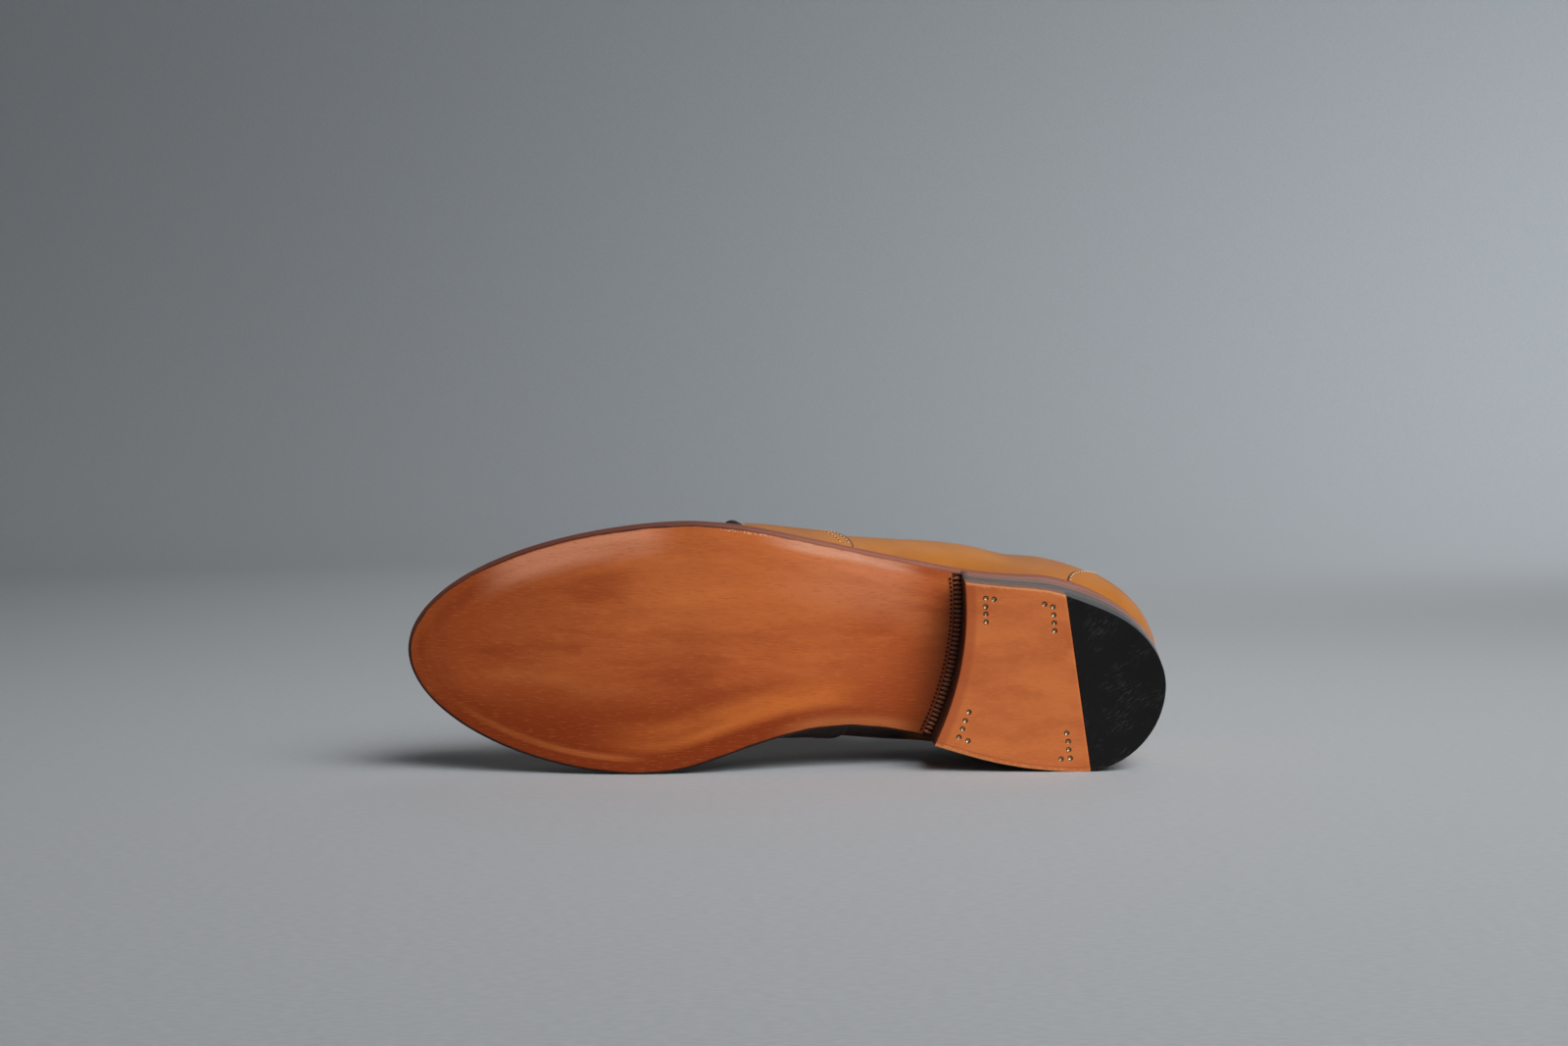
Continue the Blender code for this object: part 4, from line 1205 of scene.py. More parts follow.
def make_welt_stitches(dark, thread):
    """Stitches on the welt's ledge, round the forefoot from waist to waist."""
    s = round_the_toe(WELT_SEWN_FROM, WELT_LINE_POINTS)
    points = layer_point(s, WELT_SEAM * wall_margin(s), WELT_BASE, WELT_THICK)
    normals = np.tile((0.0, 0.0, 1.0), (len(s), 1))
    sew("welt", [(points, normals)], WELT_STITCH, thread, dark)


# Materials

NOISE_SPAN = 0.3, 0.7    # the usual lowest and highest value of a noise


class Nodes:
    """Short calls that add nodes to one tree and link them. A colour is a socket or three numbers."""

    def __init__(self, tree):
        self.tree = tree

    def add(self, kind, sockets=None, **settings):
        node = self.tree.nodes.new("ShaderNode" + kind)
        for name, value in settings.items():
            setattr(node, name, value)
        for key, value in (sockets or {}).items():
            self.feed(node.inputs[key], value)
        return node

    def feed(self, socket, value):
        if isinstance(value, bpy.types.NodeSocket):
            self.tree.links.new(value, socket)
        elif socket.type == "RGBA":
            socket.default_value = (*value, 1.0)
        else:
            socket.default_value = value

    def coords(self):
        return self.add("TexCoord").outputs["Object"]

    def attribute(self, name):
        return self.add("Attribute", attribute_name=name).outputs["Fac"]

    def place_mark(self, name):
        return self.add("Attribute", attribute_name=name).outputs["Vector"]

    def axis(self, vector, name):
        return self.add("SeparateXYZ", {0: vector}).outputs[name]

    def noise(self, vector, scale, detail, roughness=0.5):
        sockets = {"Vector": vector, "Scale": scale, "Detail": detail, "Roughness": roughness}
        return self.add("TexNoise", sockets).outputs["Fac"]

    def cells(self, vector, scale):
        return self.add("TexVoronoi", {"Vector": vector, "Scale": scale}).outputs["Distance"]

    def stretch(self, vector, factors):
        return self.add("VectorMath", {0: vector, 1: factors}, operation="MULTIPLY").outputs["Vector"]

    def span(self, value, low, high, first=0.0, last=1.0):
        """Takes low..high to first..last, smoothly, and holds the ends."""
        sockets = {"Value": value, "From Min": low, "From Max": high, "To Min": first, "To Max": last}
        return self.add("MapRange", sockets, interpolation_type="SMOOTHSTEP").outputs["Result"]

    def between(self, value, low, start, end, high):
        """1 from start to end, falling to 0 at low and at high."""
        return self.times(self.span(value, low, start), self.span(value, end, high, 1.0, 0.0))

    def math(self, operation, first, second):
        return self.add("Math", {0: first, 1: second}, operation=operation).outputs["Value"]

    def times(self, first, *others):
        """The product of all the values."""
        for other in others:
            first = self.math("MULTIPLY", first, other)
        return first

    def mix_values(self, share, first, second):
        return self.add("Mix", {0: share, 2: first, 3: second}, data_type="FLOAT").outputs[0]

    def blend(self, share, first, second):
        return self.add("Mix", {0: share, 6: first, 7: second}, data_type="RGBA").outputs[2]

    def lay(self, base, tones, **values):
        """Lays tones over a colour, in turn; values gives what each of them follows."""
        for tone in tones:
            share = self.span(values[tone.follows], tone.low, tone.high, 0.0, tone.weight)
            base = self.blend(share, base, tone.tint)
        return base

    def bump(self, height, depth):
        """A bump of a depth in millimetres."""
        return self.add("Bump", {"Height": height, "Distance": depth * MM, "Strength": 1.0}).outputs["Normal"]

    def place(self, group, **values):
        node = self.tree.nodes.new("ShaderNodeGroup")
        node.node_tree = group
        for key, value in values.items():
            self.feed(node.inputs[key], value)
        return node.outputs


def new_group(name, inputs, outputs):
    """A shader group with named sockets: its node helper, and its inner inputs and outputs."""
    tree = bpy.data.node_groups.new(name, "ShaderNodeTree")
    for key, kind in inputs.items():
        tree.interface.new_socket(key, in_out="INPUT", socket_type="NodeSocket" + kind)
    for key in outputs:
        tree.interface.new_socket(key, in_out="OUTPUT", socket_type="NodeSocketFloat")
    return Nodes(tree), tree.nodes.new("NodeGroupInput").outputs, tree.nodes.new("NodeGroupOutput").inputs


def grain_group():
    """Leather grain: pores and fine wrinkles as a height, and broad mottling as a tone."""
    sockets = {"Vector": "Vector", "Scale": "Float"}
    nodes, given, made = new_group("leather_grain", sockets, ("Height", "Tone"))
    vector, scale = given["Vector"], given["Scale"]
    wrinkles = nodes.noise(vector, scale, 6.0, 0.6)
    pits = nodes.span(nodes.cells(vector, scale), 0.0, 0.35)
    nodes.feed(made["Height"], nodes.math("ADD", nodes.times(wrinkles, 0.7), nodes.times(pits, 0.3)))
    nodes.feed(made["Tone"], nodes.noise(vector, nodes.times(scale, 0.015), 4.0, 0.6))
    return nodes.tree


def stroke_group():
    """Strokes of a burnishing brush, drawn out along one direction."""
    sockets = {"Vector": "Vector", "Stretch": "Vector"}
    nodes, given, made = new_group("brush_strokes", sockets, ("Broad", "Fine"))
    drawn = nodes.stretch(given["Vector"], given["Stretch"])
    nodes.feed(made["Broad"], nodes.noise(drawn, 1.0, 3.0, 0.55))
    nodes.feed(made["Fine"], nodes.noise(drawn, 6.0, 4.0, 0.6))
    return nodes.tree


SCRATCH_TURNS = 0.5, 0.95        # the two directions of the scratches, in radians


def scratch_group():
    """Thin short scratches in two near directions, in scattered patches of the tread's plane."""
    sockets = {"Vector": "Vector", "Scale": "Float"}
    nodes, given, made = new_group("thin_scratches", sockets, ("Mask",))
    vector, lines = given["Vector"], []
    for turn in SCRATCH_TURNS:
        turned = nodes.add("VectorRotate", {"Vector": vector, "Axis": (0.0, 0.0, 1.0), "Angle": turn})
        drawn = nodes.stretch(turned.outputs["Vector"], (0.12, 1.8, 1.0))
        lines.append(nodes.span(nodes.noise(drawn, given["Scale"], 2.0), 0.60, 0.70))
    patches = nodes.span(nodes.noise(vector, 0.07, 2.0), 0.45, 0.62)
    nodes.feed(made["Mask"], nodes.times(nodes.math("MAXIMUM", *lines), patches))
    return nodes.tree


GRAIN, BRUSH, SCRATCHES = grain_group(), stroke_group(), scratch_group()


class Finish(Nodes):
    """A material with its node helper, and the shader's values that are the same all over."""

    def __init__(self, name, **uniform):
        self.material = bpy.data.materials.new(name)
        self.material.use_nodes = True
        super().__init__(self.material.node_tree)
        self.shader = self.tree.nodes["Principled BSDF"]
        for key, value in uniform.items():
            self.shader.inputs[key.replace("_", " ")].default_value = value

    def grain(self, scale):
        return self.place(GRAIN, Vector=self.coords(), Scale=scale)

    def brush(self, vector, stretch):
        return self.place(BRUSH, Vector=vector, Stretch=stretch)

    def dress(self, base, varied, rough, height, depth):
        """Gives the material its colour, a roughness that follows a varied value, and a bump."""
        self.feed(self.shader.inputs["Base Color"], base)
        self.feed(self.shader.inputs["Roughness"], self.span(varied, *NOISE_SPAN, *rough))
        self.feed(self.shader.inputs["Normal"], self.bump(height, depth))
        return self.material


# Tones that are laid over a colour: as what it follows goes from low to high, a tone comes up to its weight
Tone = namedtuple("Tone", "follows low high tint weight", defaults=(1.0,))

# Strokes of the burnish beside the edge of the sole, and painted sheen by its outer edge: each fades in and
# out along the sole and away from its edge, in millimetres
Stroke = namedtuple("Stroke", "side along edge weight tint")
STROKES_AND_SHEEN = (
    Stroke(MEDIAL, (115, 140, 185, 240), (7, 12, 16, 25), 0.85, (0.60, 0.155, 0.030)),
    Stroke(MEDIAL, (205, 225, 270, 292), (4.8, 6.0, 7.2, 8.8), 0.55, (0.62, 0.17, 0.042)),
    Stroke(MEDIAL, (92, 112, 140, 165), (0.5, 1.2, 3, 7), 0.5, (0.70, 0.23, 0.07)),
    Stroke(LATERAL, (250, 264, 288, 302), (3.5, 6, 8, 11), 0.55, (0.27, 0.042, 0.009)),
    # Painted sheen along the outer edge of the forefoot
    Stroke(LATERAL, (195, 215, 258, 282), (1.4, 2.4, 7, 15), 0.95, (0.72, 0.28, 0.155)),
    # Painted sheen over the outer half of the waist
    Stroke(LATERAL, (92, 112, 128, 170), (3, 6, 17, 32), 0.55, (0.64, 0.24, 0.115)),
    # Painted highlight close to the outer edge of the waist
    Stroke(LATERAL, (98, 114, 146, 170), (1.2, 1.8, 3.6, 6.5), 0.65, (0.74, 0.44, 0.31)),
)
STROKE_FADE = 10.0       # a stroke fades in over this breadth from the sole's middle line
SOLE_LEATHER = 0.38, 0.077, 0.018
DYE = (
    Tone("broad", 0.36, 0.54, (0.50, 0.116, 0.028)),
    Tone("broad", 0.54, 0.7, (0.62, 0.17, 0.044), 0.8),
    Tone("fine", 0.52, 0.72, (0.66, 0.195, 0.055), 0.3),
    Tone("fine", 0.46, 0.3, (0.33, 0.066, 0.016), 0.3),
    Tone("smudge", 0.5, 0.75, (0.34, 0.078, 0.022), 0.3),
)
FIBRES = (
    Tone("fibre", 0.52, 0.75, (0.66, 0.20, 0.06), 0.32),
    Tone("fibre", 0.48, 0.25, (0.25, 0.045, 0.011), 0.36),
    Tone("pores", 0.6, 0.4, (0.26, 0.05, 0.012), 0.22),
)
# The darker toe and inner side are partly the burnish, partly painted shade
INNER_BURNISH_AND_SHADE, WAIST_BURNISH = (0.258, 0.036, 0.0045), (0.36, 0.068, 0.015)
# The lighter outer side is partly the burnish, partly painted light
OUTER_BURNISH_AND_LIGHT = 0.64, 0.18, 0.046
# Painted shade before the heel's breast, and the band's black: partly dark grooves, partly painted shade
BREAST_SHADE, BAND_GROOVES_AND_SHADE = (0.16, 0.040, 0.015), (0.025, 0.009, 0.006)
EDGE_INK, HEELWARD_INK = (0.15, 0.05, 0.035), (0.27, 0.085, 0.048)
# The inner side's darker ink is partly ink, partly painted shade
INNER_INK_AND_SHADE, CORNER_INK, FLECK = (0.04, 0.015, 0.010), (0.05, 0.018, 0.012), (0.80, 0.52, 0.33)
INK_REACH = 1.1, 1.6     # how far the ink comes in from the edge, on the inner and the outer side
FLECKS_ALONG = 158, 165, 178, 184


def sole_strokes(nodes, plan, edge):
    """Brush strokes of the burnish: along the sole in its middle, along the outline near its edge."""
    straight = nodes.brush(plan, (0.012, 0.05, 0.0))
    curved = nodes.brush(nodes.place_mark("round_mm"), (0.12, 0.012, 0.012))
    near = nodes.span(edge, 8.0, 28.0, 1.0, 0.0)
    return [nodes.mix_values(near, straight[key], curved[key]) for key in ("Broad", "Fine")]


def sole_burnish_and_painted_light(nodes, base, broad, along, across, edge):
    """Where the burnish lies darker or lighter: toe and inner side, partly painted shade; waist; outer side,
    partly painted light; beside the edge, some of it painted sheen.
    """
    toe = nodes.span(along, 225.0, 300.0, 0.0, 0.6)
    inner = nodes.span(across, 5.0, -28.0, 0.0, 0.95)
    # Partly painted shade: darker towards the toe and on the inner side
    base = nodes.blend(nodes.math("MAXIMUM", toe, inner), base, INNER_BURNISH_AND_SHADE)
    waist = nodes.times(nodes.span(along, 165.0, 110.0, 0.0, 0.85), nodes.span(across, 20.0, -10.0, 0.3, 1.0))
    base = nodes.blend(waist, base, WAIST_BURNISH)
    middle = nodes.between(along, 110.0, 140.0, 200.0, 235.0)
    outer = nodes.times(nodes.span(across, -5.0, 30.0, 0.0, 0.45), middle)
    # Partly painted light: lighter on the outer side
    base = nodes.blend(outer, base, OUTER_BURNISH_AND_LIGHT)
    for stroke in STROKES_AND_SHEEN:
        there = nodes.times(nodes.between(along, *stroke.along), nodes.between(edge, *stroke.edge),
                            nodes.span(across, 0.0, STROKE_FADE * stroke.side))
        uneven = nodes.span(broad, 0.3, 0.6, 0.45 * stroke.weight, stroke.weight)
        base = nodes.blend(nodes.times(there, uneven), base, stroke.tint)
    return base


def sole_breast_shade(nodes, base, across, breast):
    """Painted shade in front of the heel's breast, and black between the wheeled ribs: partly dark grooves,
    partly painted shade by the breast.
    """
    inner = nodes.span(across, 36.0, 16.0, 0.15, 1.0)
    # Painted shade before the breast, stronger towards the inner side
    base = nodes.blend(nodes.times(nodes.span(breast, 4.5, 15.0, 0.25, 0.0), inner), base, BREAST_SHADE)
    # Black under the ribs: partly dark grooves, partly painted shade by the breast
    return nodes.blend(nodes.span(breast, 3.3, 4.0, 0.95, 0.0), base, BAND_GROOVES_AND_SHADE)


def sole_edge_ink(nodes, base, fine, plan, along, across, edge):
    """The dark ink that wraps over the rounded corner, darker on the inner side where it is partly painted
    shade, with pale flecks beside it on the outer waist.
    """
    reach = nodes.span(across, -10.0, 12.0, *INK_REACH)
    reach = nodes.math("ADD", reach, nodes.span(fine, *NOISE_SPAN, -0.2, 0.2))
    ragged = nodes.math("SUBTRACT", edge, reach)
    flecks = nodes.times(nodes.between(ragged, 0.0, 0.15, 0.7, 1.1), nodes.span(across, 5.0, 20.0),
                         nodes.between(along, *FLECKS_ALONG),
                         nodes.span(nodes.noise(plan, 1.4, 2.0), 0.5, 0.62, 0.0, 0.7))
    base = nodes.blend(flecks, base, FLECK)
    ink = nodes.blend(nodes.span(along, 200.0, 130.0), EDGE_INK, HEELWARD_INK)
    # Darker on the inner side: partly ink, partly painted shade
    ink = nodes.blend(nodes.span(across, 6.0, -8.0), ink, INNER_INK_AND_SHADE)
    base = nodes.blend(nodes.span(ragged, -0.2, 0.2, 1.0, 0.0), base, ink)
    front = nodes.span(along, 140.0, 200.0, 0.0, 0.7)
    corner = nodes.times(nodes.between(ragged, -0.6, -0.35, -0.05, 0.2), front)
    return nodes.blend(corner, base, CORNER_INK)


def sole_finish():
    """The tread: burnished leather with the strokes of the brush, inked at its rim, with painted sheen by its
    outer edge and painted shade before the heel.
    """
    nodes = Finish("sole_burnished", Coat_Weight=0.05, Coat_Roughness=0.3, Specular_IOR_Level=0.14)
    plan = nodes.place_mark("plan_mm")
    along, across = nodes.axis(plan, "X"), nodes.axis(plan, "Y")
    edge, breast = nodes.attribute("edge_mm"), nodes.attribute("breast_mm")
    grain = nodes.grain(1500.0)
    broad, fine = sole_strokes(nodes, plan, edge)
    fibre = nodes.noise(nodes.stretch(plan, (0.22, 1.6, 0.0)), 1.0, 3.0, 0.6)
    smudge = nodes.noise(nodes.stretch(plan, (0.022, 0.04, 0.0)), 1.0, 4.0, 0.6)
    base = nodes.lay(SOLE_LEATHER, DYE, broad=broad, fine=fine, smudge=smudge)
    base = sole_burnish_and_painted_light(nodes, base, broad, along, across, edge)
    base = nodes.lay(base, FIBRES, fibre=fibre, pores=grain["Height"])
    base = sole_breast_shade(nodes, base, across, breast)
    base = sole_edge_ink(nodes, base, fine, plan, along, across, edge)
    height = nodes.math("ADD", grain["Height"], nodes.times(fibre, 1.2))
    return nodes.dress(base, grain["Tone"], (0.42, 0.56), height, 0.05)


def edge_finish():
    """Inked and waxed edge of the welt."""
    nodes = Finish("edge_inked", Coat_Weight=0.1, Coat_Roughness=0.3)
    coords, grain = nodes.coords(), nodes.grain(1800.0)
    strokes = nodes.brush(coords, (30.0, 500.0, 120.0))
    tones = (Tone("heelward", -0.04, 0.03, HEELWARD_INK),
             Tone("strokes", 0.4, 0.65, (0.08, 0.025, 0.016), 0.4))
    base = nodes.lay((0.13, 0.038, 0.023), tones, heelward=nodes.axis(coords, "X"), strokes=strokes["Broad"])
    return nodes.dress(base, grain["Tone"], (0.4, 0.55), grain["Height"], 0.04)


def lift_finish():
    """Edge of the stacked lifts: reddish under the seat, slate-dark towards the tread and on the breast."""
    nodes = Finish("lift_stacked", Coat_Weight=0.25, Coat_Roughness=0.28)
    strokes, grain = nodes.brush(nodes.coords(), (25.0, 700.0, 90.0)), nodes.grain(1600.0)
    red = nodes.lay((0.20, 0.068, 0.04), [Tone("strokes", 0.35, 0.68, (0.30, 0.10, 0.056))],
                    strokes=strokes["Broad"])
    slate = nodes.lay((0.048, 0.042, 0.040), [Tone("strokes", 0.4, 0.6, (0.085, 0.07, 0.062))],
                      strokes=strokes["Fine"])
    tones = (Tone("stack", 0.5, 0.36, slate), Tone("breast", -3.0, -0.5, (0.03, 0.014, 0.010)))
    base = nodes.lay(red, tones, stack=nodes.attribute("stack"), breast=nodes.attribute("breast_mm"))
    return nodes.dress(base, grain["Tone"], (0.32, 0.48), grain["Height"], 0.05)


TOP_LEATHER = 0.50, 0.118, 0.026
TOP_TONES = (
    Tone("broad", 0.3, 0.7, (0.63, 0.172, 0.042)),
    Tone("fibre", 0.5, 0.75, (0.70, 0.23, 0.07), 0.35),
    Tone("fibre", 0.45, 0.25, (0.40, 0.085, 0.02), 0.3),
    Tone("breast", -5.0, -2.8, (0.36, 0.06, 0.014), 0.5),
)
SHAVE_AT = 1.5, 1.7, 1.9, 2.1    # the line that the shave leaves beside the inner edge
SHAVE_TINT, PALE_RIM = (0.30, 0.06, 0.016), (0.74, 0.32, 0.12)


def top_face_finish():
    """Face of the heel's leather top piece, glazed by the breast and pale at its rim."""
    nodes = Finish("top_leather_face", Coat_Weight=0.08, Coat_Roughness=0.35, Specular_IOR_Level=0.3)
    plan, edge = nodes.place_mark("plan_mm"), nodes.attribute("edge_mm")
    strokes, grain = nodes.brush(plan, (0.03, 0.09, 0.0)), nodes.grain(1300.0)
    fibre = nodes.noise(nodes.stretch(plan, (0.25, 1.2, 0.0)), 1.4, 3.0)
    base = nodes.lay(TOP_LEATHER, TOP_TONES, broad=strokes["Broad"], fibre=fibre,
                     breast=nodes.attribute("breast_mm"))
    inner_side = nodes.span(nodes.axis(plan, "Y"), -10.0, -14.0)
    shave = nodes.times(nodes.between(edge, *SHAVE_AT), inner_side, 0.5)
    base = nodes.blend(shave, base, SHAVE_TINT)
    ragged = nodes.math("ADD", edge, nodes.span(nodes.noise(plan, 0.8, 3.0), *NOISE_SPAN, -0.5, 0.5))
    base = nodes.blend(nodes.span(ragged, 0.6, 1.1, 0.5, 0.0), base, PALE_RIM)
    return nodes.dress(base, grain["Tone"], (0.46, 0.6), grain["Height"], 0.06)


# Inks for dark leather, and near-black colours of painted shade
InkAndShade = namedtuple("InkAndShade", "name low high coat")
TOP_SIDE_INK = InkAndShade("top_leather_side", (0.17, 0.06, 0.034), (0.25, 0.088, 0.048), 0.2)
RIB_INK = InkAndShade("rib_burnished", (0.28, 0.085, 0.040), (0.42, 0.14, 0.066), 0.1)
# Painted shade: near black for the pits of the prick marks
PRICK_SHADE = InkAndShade("prick_dark", (0.010, 0.005, 0.004), (0.02, 0.009, 0.006), 0.0)
# Near black: painted shade for the awl holes, and partly ink, partly painted shade for the strap's roll
CALF_INK_AND_SHADE = InkAndShade("calf_inked", (0.016, 0.008, 0.006), (0.035, 0.015, 0.009), 0.0)


def dark_leather(ink):
    """Inked or burnished leather for the top piece's side and the ribs; painted shade for the pricks and awl
    holes; both for the strap's roll.
    """
    nodes = Finish(ink.name, Coat_Weight=ink.coat, Coat_Roughness=0.3, Specular_IOR_Level=0.25)
    grain, cloud = nodes.grain(1500.0), nodes.noise(nodes.coords(), 420.0, 3.0)
    base = nodes.blend(nodes.span(cloud, *NOISE_SPAN), ink.low, ink.high)
    return nodes.dress(base, grain["Tone"], (0.36, 0.5), grain["Height"], 0.03)


RUBBER_FACE, RUBBER_SIDE = (0.0065, 0.0065, 0.0065), (0.085, 0.09, 0.095)
RUBBER_SPECK, RUBBER_SCRATCH = (0.06, 0.06, 0.06), (0.11, 0.11, 0.105)


def rubber_finish(name, tint, scuffed):
    """Rubber of the heel's tip: its scuffed face, or its buffed side."""
    nodes = Finish(name, Specular_IOR_Level=0.16)
    grain, specks = nodes.grain(2600.0), nodes.noise(nodes.coords(), 1100.0, 2.0)
    base = nodes.blend(grain["Tone"], [0.7 * part for part in tint], tint)
    base = nodes.blend(nodes.span(specks, 0.66, 0.8, 0.0, 0.35), base, RUBBER_SPECK)
    if scuffed:
        scratches = nodes.place(SCRATCHES, Vector=nodes.place_mark("plan_mm"), Scale=1.6)["Mask"]
        base = nodes.blend(nodes.times(scratches, 0.45), base, RUBBER_SCRATCH)
    return nodes.dress(base, grain["Tone"], (0.5, 0.66), grain["Height"], 0.05)


# The second colour is painted shade, laid on the calf and its thread along the inner waist
CALF_LEATHER, CALF_PAINTED_SHADE = (0.37, 0.121, 0.015), (0.022, 0.009, 0.005)
CALF_TONES = (
    Tone("cloud", 0.35, 0.68, (0.46, 0.168, 0.025)),
    Tone("pores", 0.55, 0.35, (0.28, 0.086, 0.013), 0.3),
)
CALF_CUT_EDGE = Tone("edge", 0.85, 0.35, (0.05, 0.018, 0.010), 0.92)


def calf_finish():
    """Tan calf of the upper, clouded by hand polishing, with dark cut edges and painted shade along the inner
    waist.
    """
    nodes = Finish("calf_tan", Coat_Weight=0.08, Coat_Roughness=0.3, Specular_IOR_Level=0.2)
    grain, cloud = nodes.grain(1700.0), nodes.noise(nodes.coords(), 28.0, 4.0)
    base = nodes.lay(CALF_LEATHER, CALF_TONES, cloud=cloud, pores=grain["Height"])
    # Painted shade along the welt of the inner waist
    base = nodes.blend(nodes.attribute("burnish"), base, CALF_PAINTED_SHADE)
    base = nodes.lay(base, [CALF_CUT_EDGE], edge=nodes.attribute("edge_mm"))
    return nodes.dress(base, grain["Tone"], (0.36, 0.48), grain["Height"], 0.045)


def lining_finish():
    """Natural lining leather, matt."""
    nodes = Finish("lining_natural")
    grain = nodes.grain(1400.0)
    base = nodes.blend(nodes.span(grain["Tone"], *NOISE_SPAN), (0.52, 0.30, 0.15), (0.62, 0.38, 0.20))
    return nodes.dress(base, grain["Tone"], (0.55, 0.7), grain["Height"], 0.05)


def thread_finish():
    """Waxed thread with its twist, darkened by painted shade where the calf is."""
    nodes = Finish("thread_waxed")
    twist = nodes.noise(nodes.coords(), 2400.0, 2.0)
    base = nodes.blend(twist, (0.60, 0.38, 0.22), (0.78, 0.56, 0.40))
    # Painted shade along the inner waist, as on the calf
    base = nodes.blend(nodes.attribute("burnish"), base, CALF_PAINTED_SHADE)
    return nodes.dress(base, twist, (0.45, 0.6), twist, 0.05)


def brass_finish():
    """Brass nails, ground with the heel and dulled in patches, dark at the rim of their cups."""
    nodes = Finish("brass_ground", Metallic=1.0)
    tarnish = nodes.noise(nodes.coords(), 900.0, 3.0)
    tones = (Tone("tarnish", 0.4, 0.7, (0.36, 0.27, 0.15)),
             Tone("cup", 0.55, 0.9, (0.06, 0.045, 0.025), 0.8))
    base = nodes.lay((0.58, 0.45, 0.27), tones, tarnish=tarnish, cup=nodes.attribute("cup"))
    return nodes.dress(base, tarnish, (0.38, 0.52), tarnish, 0.03)


def paper_finish():
    """Pale grey paper of the floor and the wall behind, with a faint fibre."""
    nodes = Finish("paper_pale")
    fibre = nodes.noise(nodes.stretch(nodes.coords(), (0.35, 1.0, 1.0)), 700.0, 4.0)
    base = nodes.blend(nodes.span(fibre, 0.35, 0.65), (0.388, 0.410, 0.432), (0.428, 0.450, 0.472))
    return nodes.dress(base, fibre, (0.75, 0.9), fibre, 0.03)


# Stage, light and camera

FLOOR_RADIUS, WALL_RADIUS, WALL_HEIGHT = 1.5, 2.6, 3.0
SWEEP_SIDES, SWEEP_STEPS = 96, 13
Lamp = namedtuple("Lamp", "name place aim size spread power tint")
LAMPS = (
    Lamp("key", (1.4, -0.95, 1.4), (0.4, -0.05, 0.05), 1.9, 55, 8.3, (1.0, 0.99, 0.98)),
    Lamp("front", (0.9, -1.5, 1.5), (0.3, 0.0, 0.05), 1.5, 50, 3.9, (1.0, 0.99, 0.98)),
    Lamp("backdrop", (1.6, 0.9, 1.1), (0.25, 2.4, 0.3), 0.8, 105, 12.5, (0.96, 0.985, 1.0)),
    Lamp("rear_fill", (0.6, 1.5, 1.7), (0.1, 0.0, 0.05), 1.4, 60, 0.5, (1.0, 0.99, 0.98)),
)
WORLD_TINT, WORLD_STRENGTH = (0.90, 0.95, 1.0, 1.0), 0.03


def make_stage(paper):
    """A floor that sweeps up into a wall all round."""
    curve = WALL_RADIUS - FLOOR_RADIUS
    profile = [(0.0, 0.0), (FLOOR_RADIUS, 0.0)]
    for angle in np.linspace(0, QUARTER, SWEEP_STEPS)[1:]:
        profile.append((FLOOR_RADIUS + curve * math.sin(angle), curve * (1 - math.cos(angle))))
    profile.append((WALL_RADIUS, WALL_HEIGHT))
    bpy.ops.mesh.primitive_grid_add(x_subdivisions=SWEEP_SIDES, y_subdivisions=len(profile) - 1, size=1)
    sweep = named("paper_sweep")
    flat = points_of(sweep) + 0.5
    row = np.array(profile)[np.rint(flat[:, 1] * (len(profile) - 1)).astype(int)]
    angle = 2 * math.pi * flat[:, 0]
    points = np.column_stack((row[:, 0] * np.cos(angle), row[:, 0] * np.sin(angle), row[:, 1]))
    sweep.data.vertices.foreach_set("co", points.astype(np.float32).ravel())
    weld(sweep)
    pick(sweep)
    bpy.ops.object.shade_smooth()
    sweep.data.materials.append(paper)


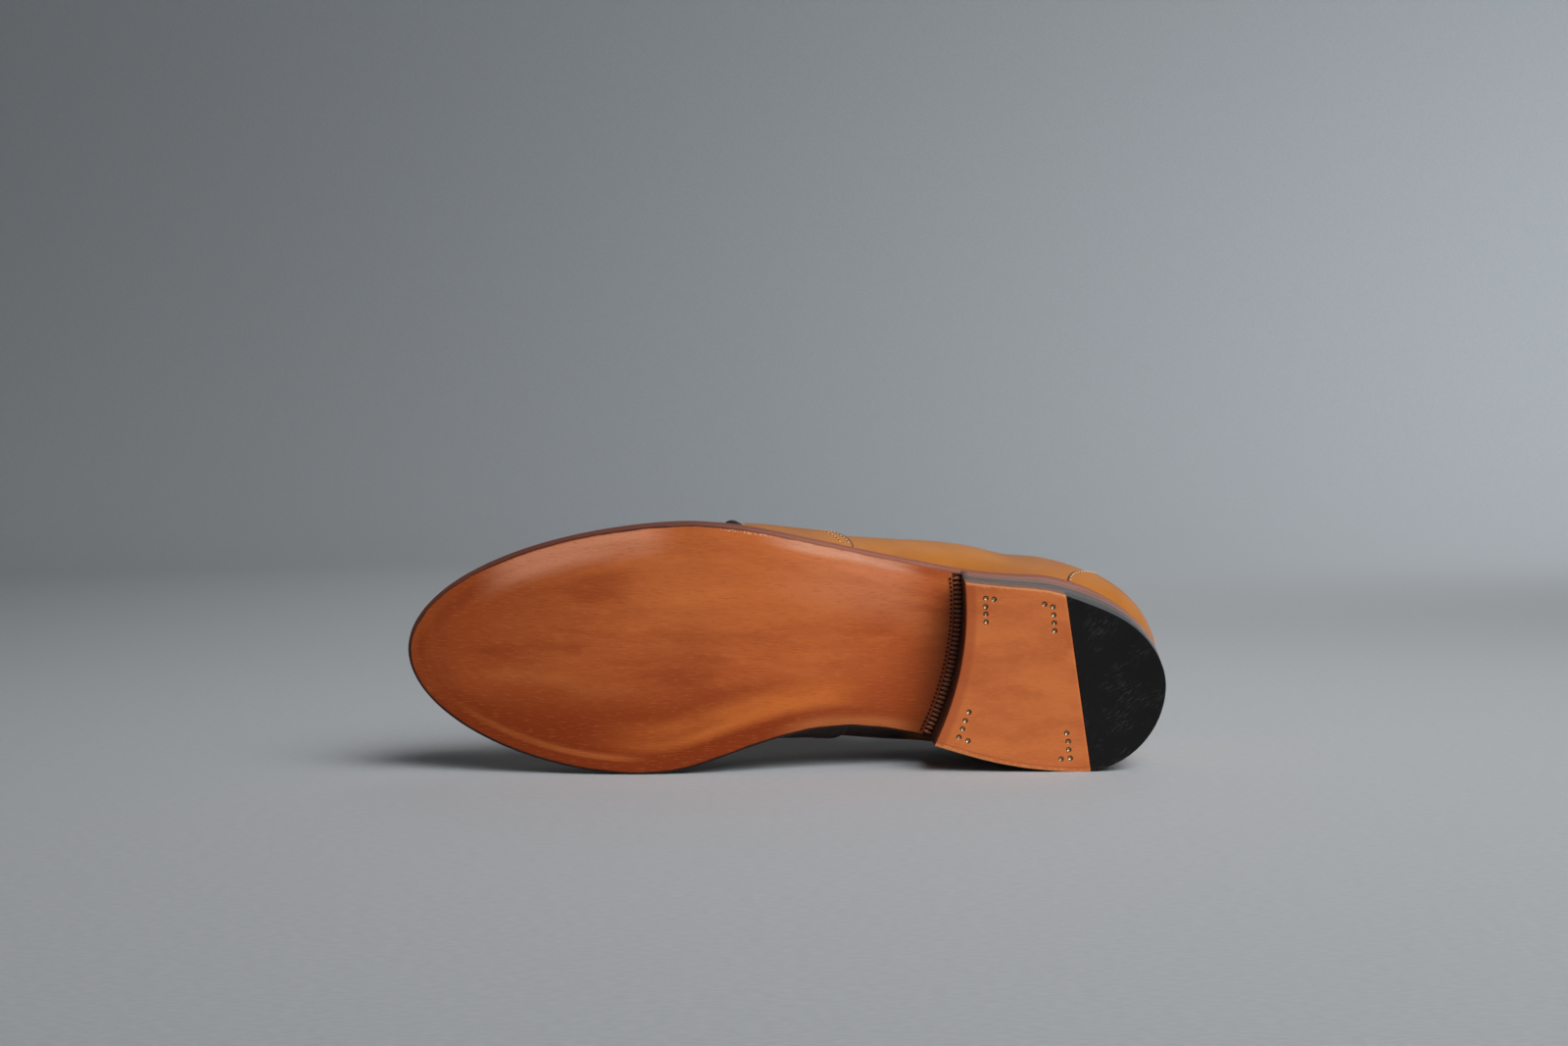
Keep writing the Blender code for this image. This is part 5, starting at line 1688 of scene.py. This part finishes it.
def make_lights():
    """The area lamps, the dim room around them, and plain colours in the picture."""
    for lamp in LAMPS:
        bpy.ops.object.light_add(type="AREA", location=lamp.place)
        light = bpy.context.object
        light.name = lamp.name
        light.rotation_euler = (Vector(lamp.aim) - Vector(lamp.place)).to_track_quat("-Z", "Y").to_euler()
        light.data.size = lamp.size
        light.data.spread = math.radians(lamp.spread)
        light.data.energy = lamp.power
        light.data.color = lamp.tint
    world = bpy.data.worlds.new("soft_room")
    world.use_nodes = True
    background = world.node_tree.nodes["Background"]
    background.inputs["Color"].default_value = WORLD_TINT
    background.inputs["Strength"].default_value = WORLD_STRENGTH
    bpy.context.scene.world = world
    bpy.context.scene.view_settings.view_transform = "Standard"


def make_camera():
    """The photo's camera: level with the shoe's length, tilted to show the outer edge of the sole."""
    turn, tilt = math.radians(CAMERA_TURN), math.radians(CAMERA_TILT)
    right = (-math.cos(turn), math.sin(turn), 0.0)
    up = (math.sin(turn) * math.cos(tilt), math.cos(turn) * math.cos(tilt), math.sin(tilt))
    back = (math.sin(turn) * math.sin(tilt), math.cos(turn) * math.sin(tilt), -math.cos(tilt))
    axes = np.array((right, up, back)) @ AXES
    matrix = Matrix(axes.T.tolist()).to_4x4()
    matrix.translation = Vector(lie_down(np.array(CAMERA_PLACE)))
    bpy.ops.object.camera_add()
    camera = bpy.context.object
    camera.matrix_world = matrix
    camera.data.lens = LENS
    camera.data.sensor_width = SENSOR
    bpy.context.scene.camera = camera


def make_shoe():
    """Every piece of the shoe, from the tread up."""
    calf, thread, lining, dark = calf_finish(), thread_finish(), lining_finish(), dark_leather(CALF_INK_AND_SHADE)
    make_outsole(sole_finish())
    make_welt(edge_finish())
    make_insole(lining)
    make_lifts(lift_finish())
    make_heel_tread(top_face_finish(), dark_leather(TOP_SIDE_INK),
                    rubber_finish("rubber_face", RUBBER_FACE, True),
                    rubber_finish("rubber_side", RUBBER_SIDE, False), brass_finish())
    make_breast_band(dark_leather(RIB_INK), dark_leather(PRICK_SHADE))
    make_upper(calf, lining)
    make_collar(calf, dark, thread)
    make_strap(calf, dark, thread)
    make_counter(calf, dark, thread)
    make_apron_seam(calf, thread)
    make_tongue(calf)
    make_welt_stitches(dark, thread)


bpy.ops.object.select_all(action="DESELECT")
make_shoe()
make_stage(paper_finish())
make_lights()
make_camera()
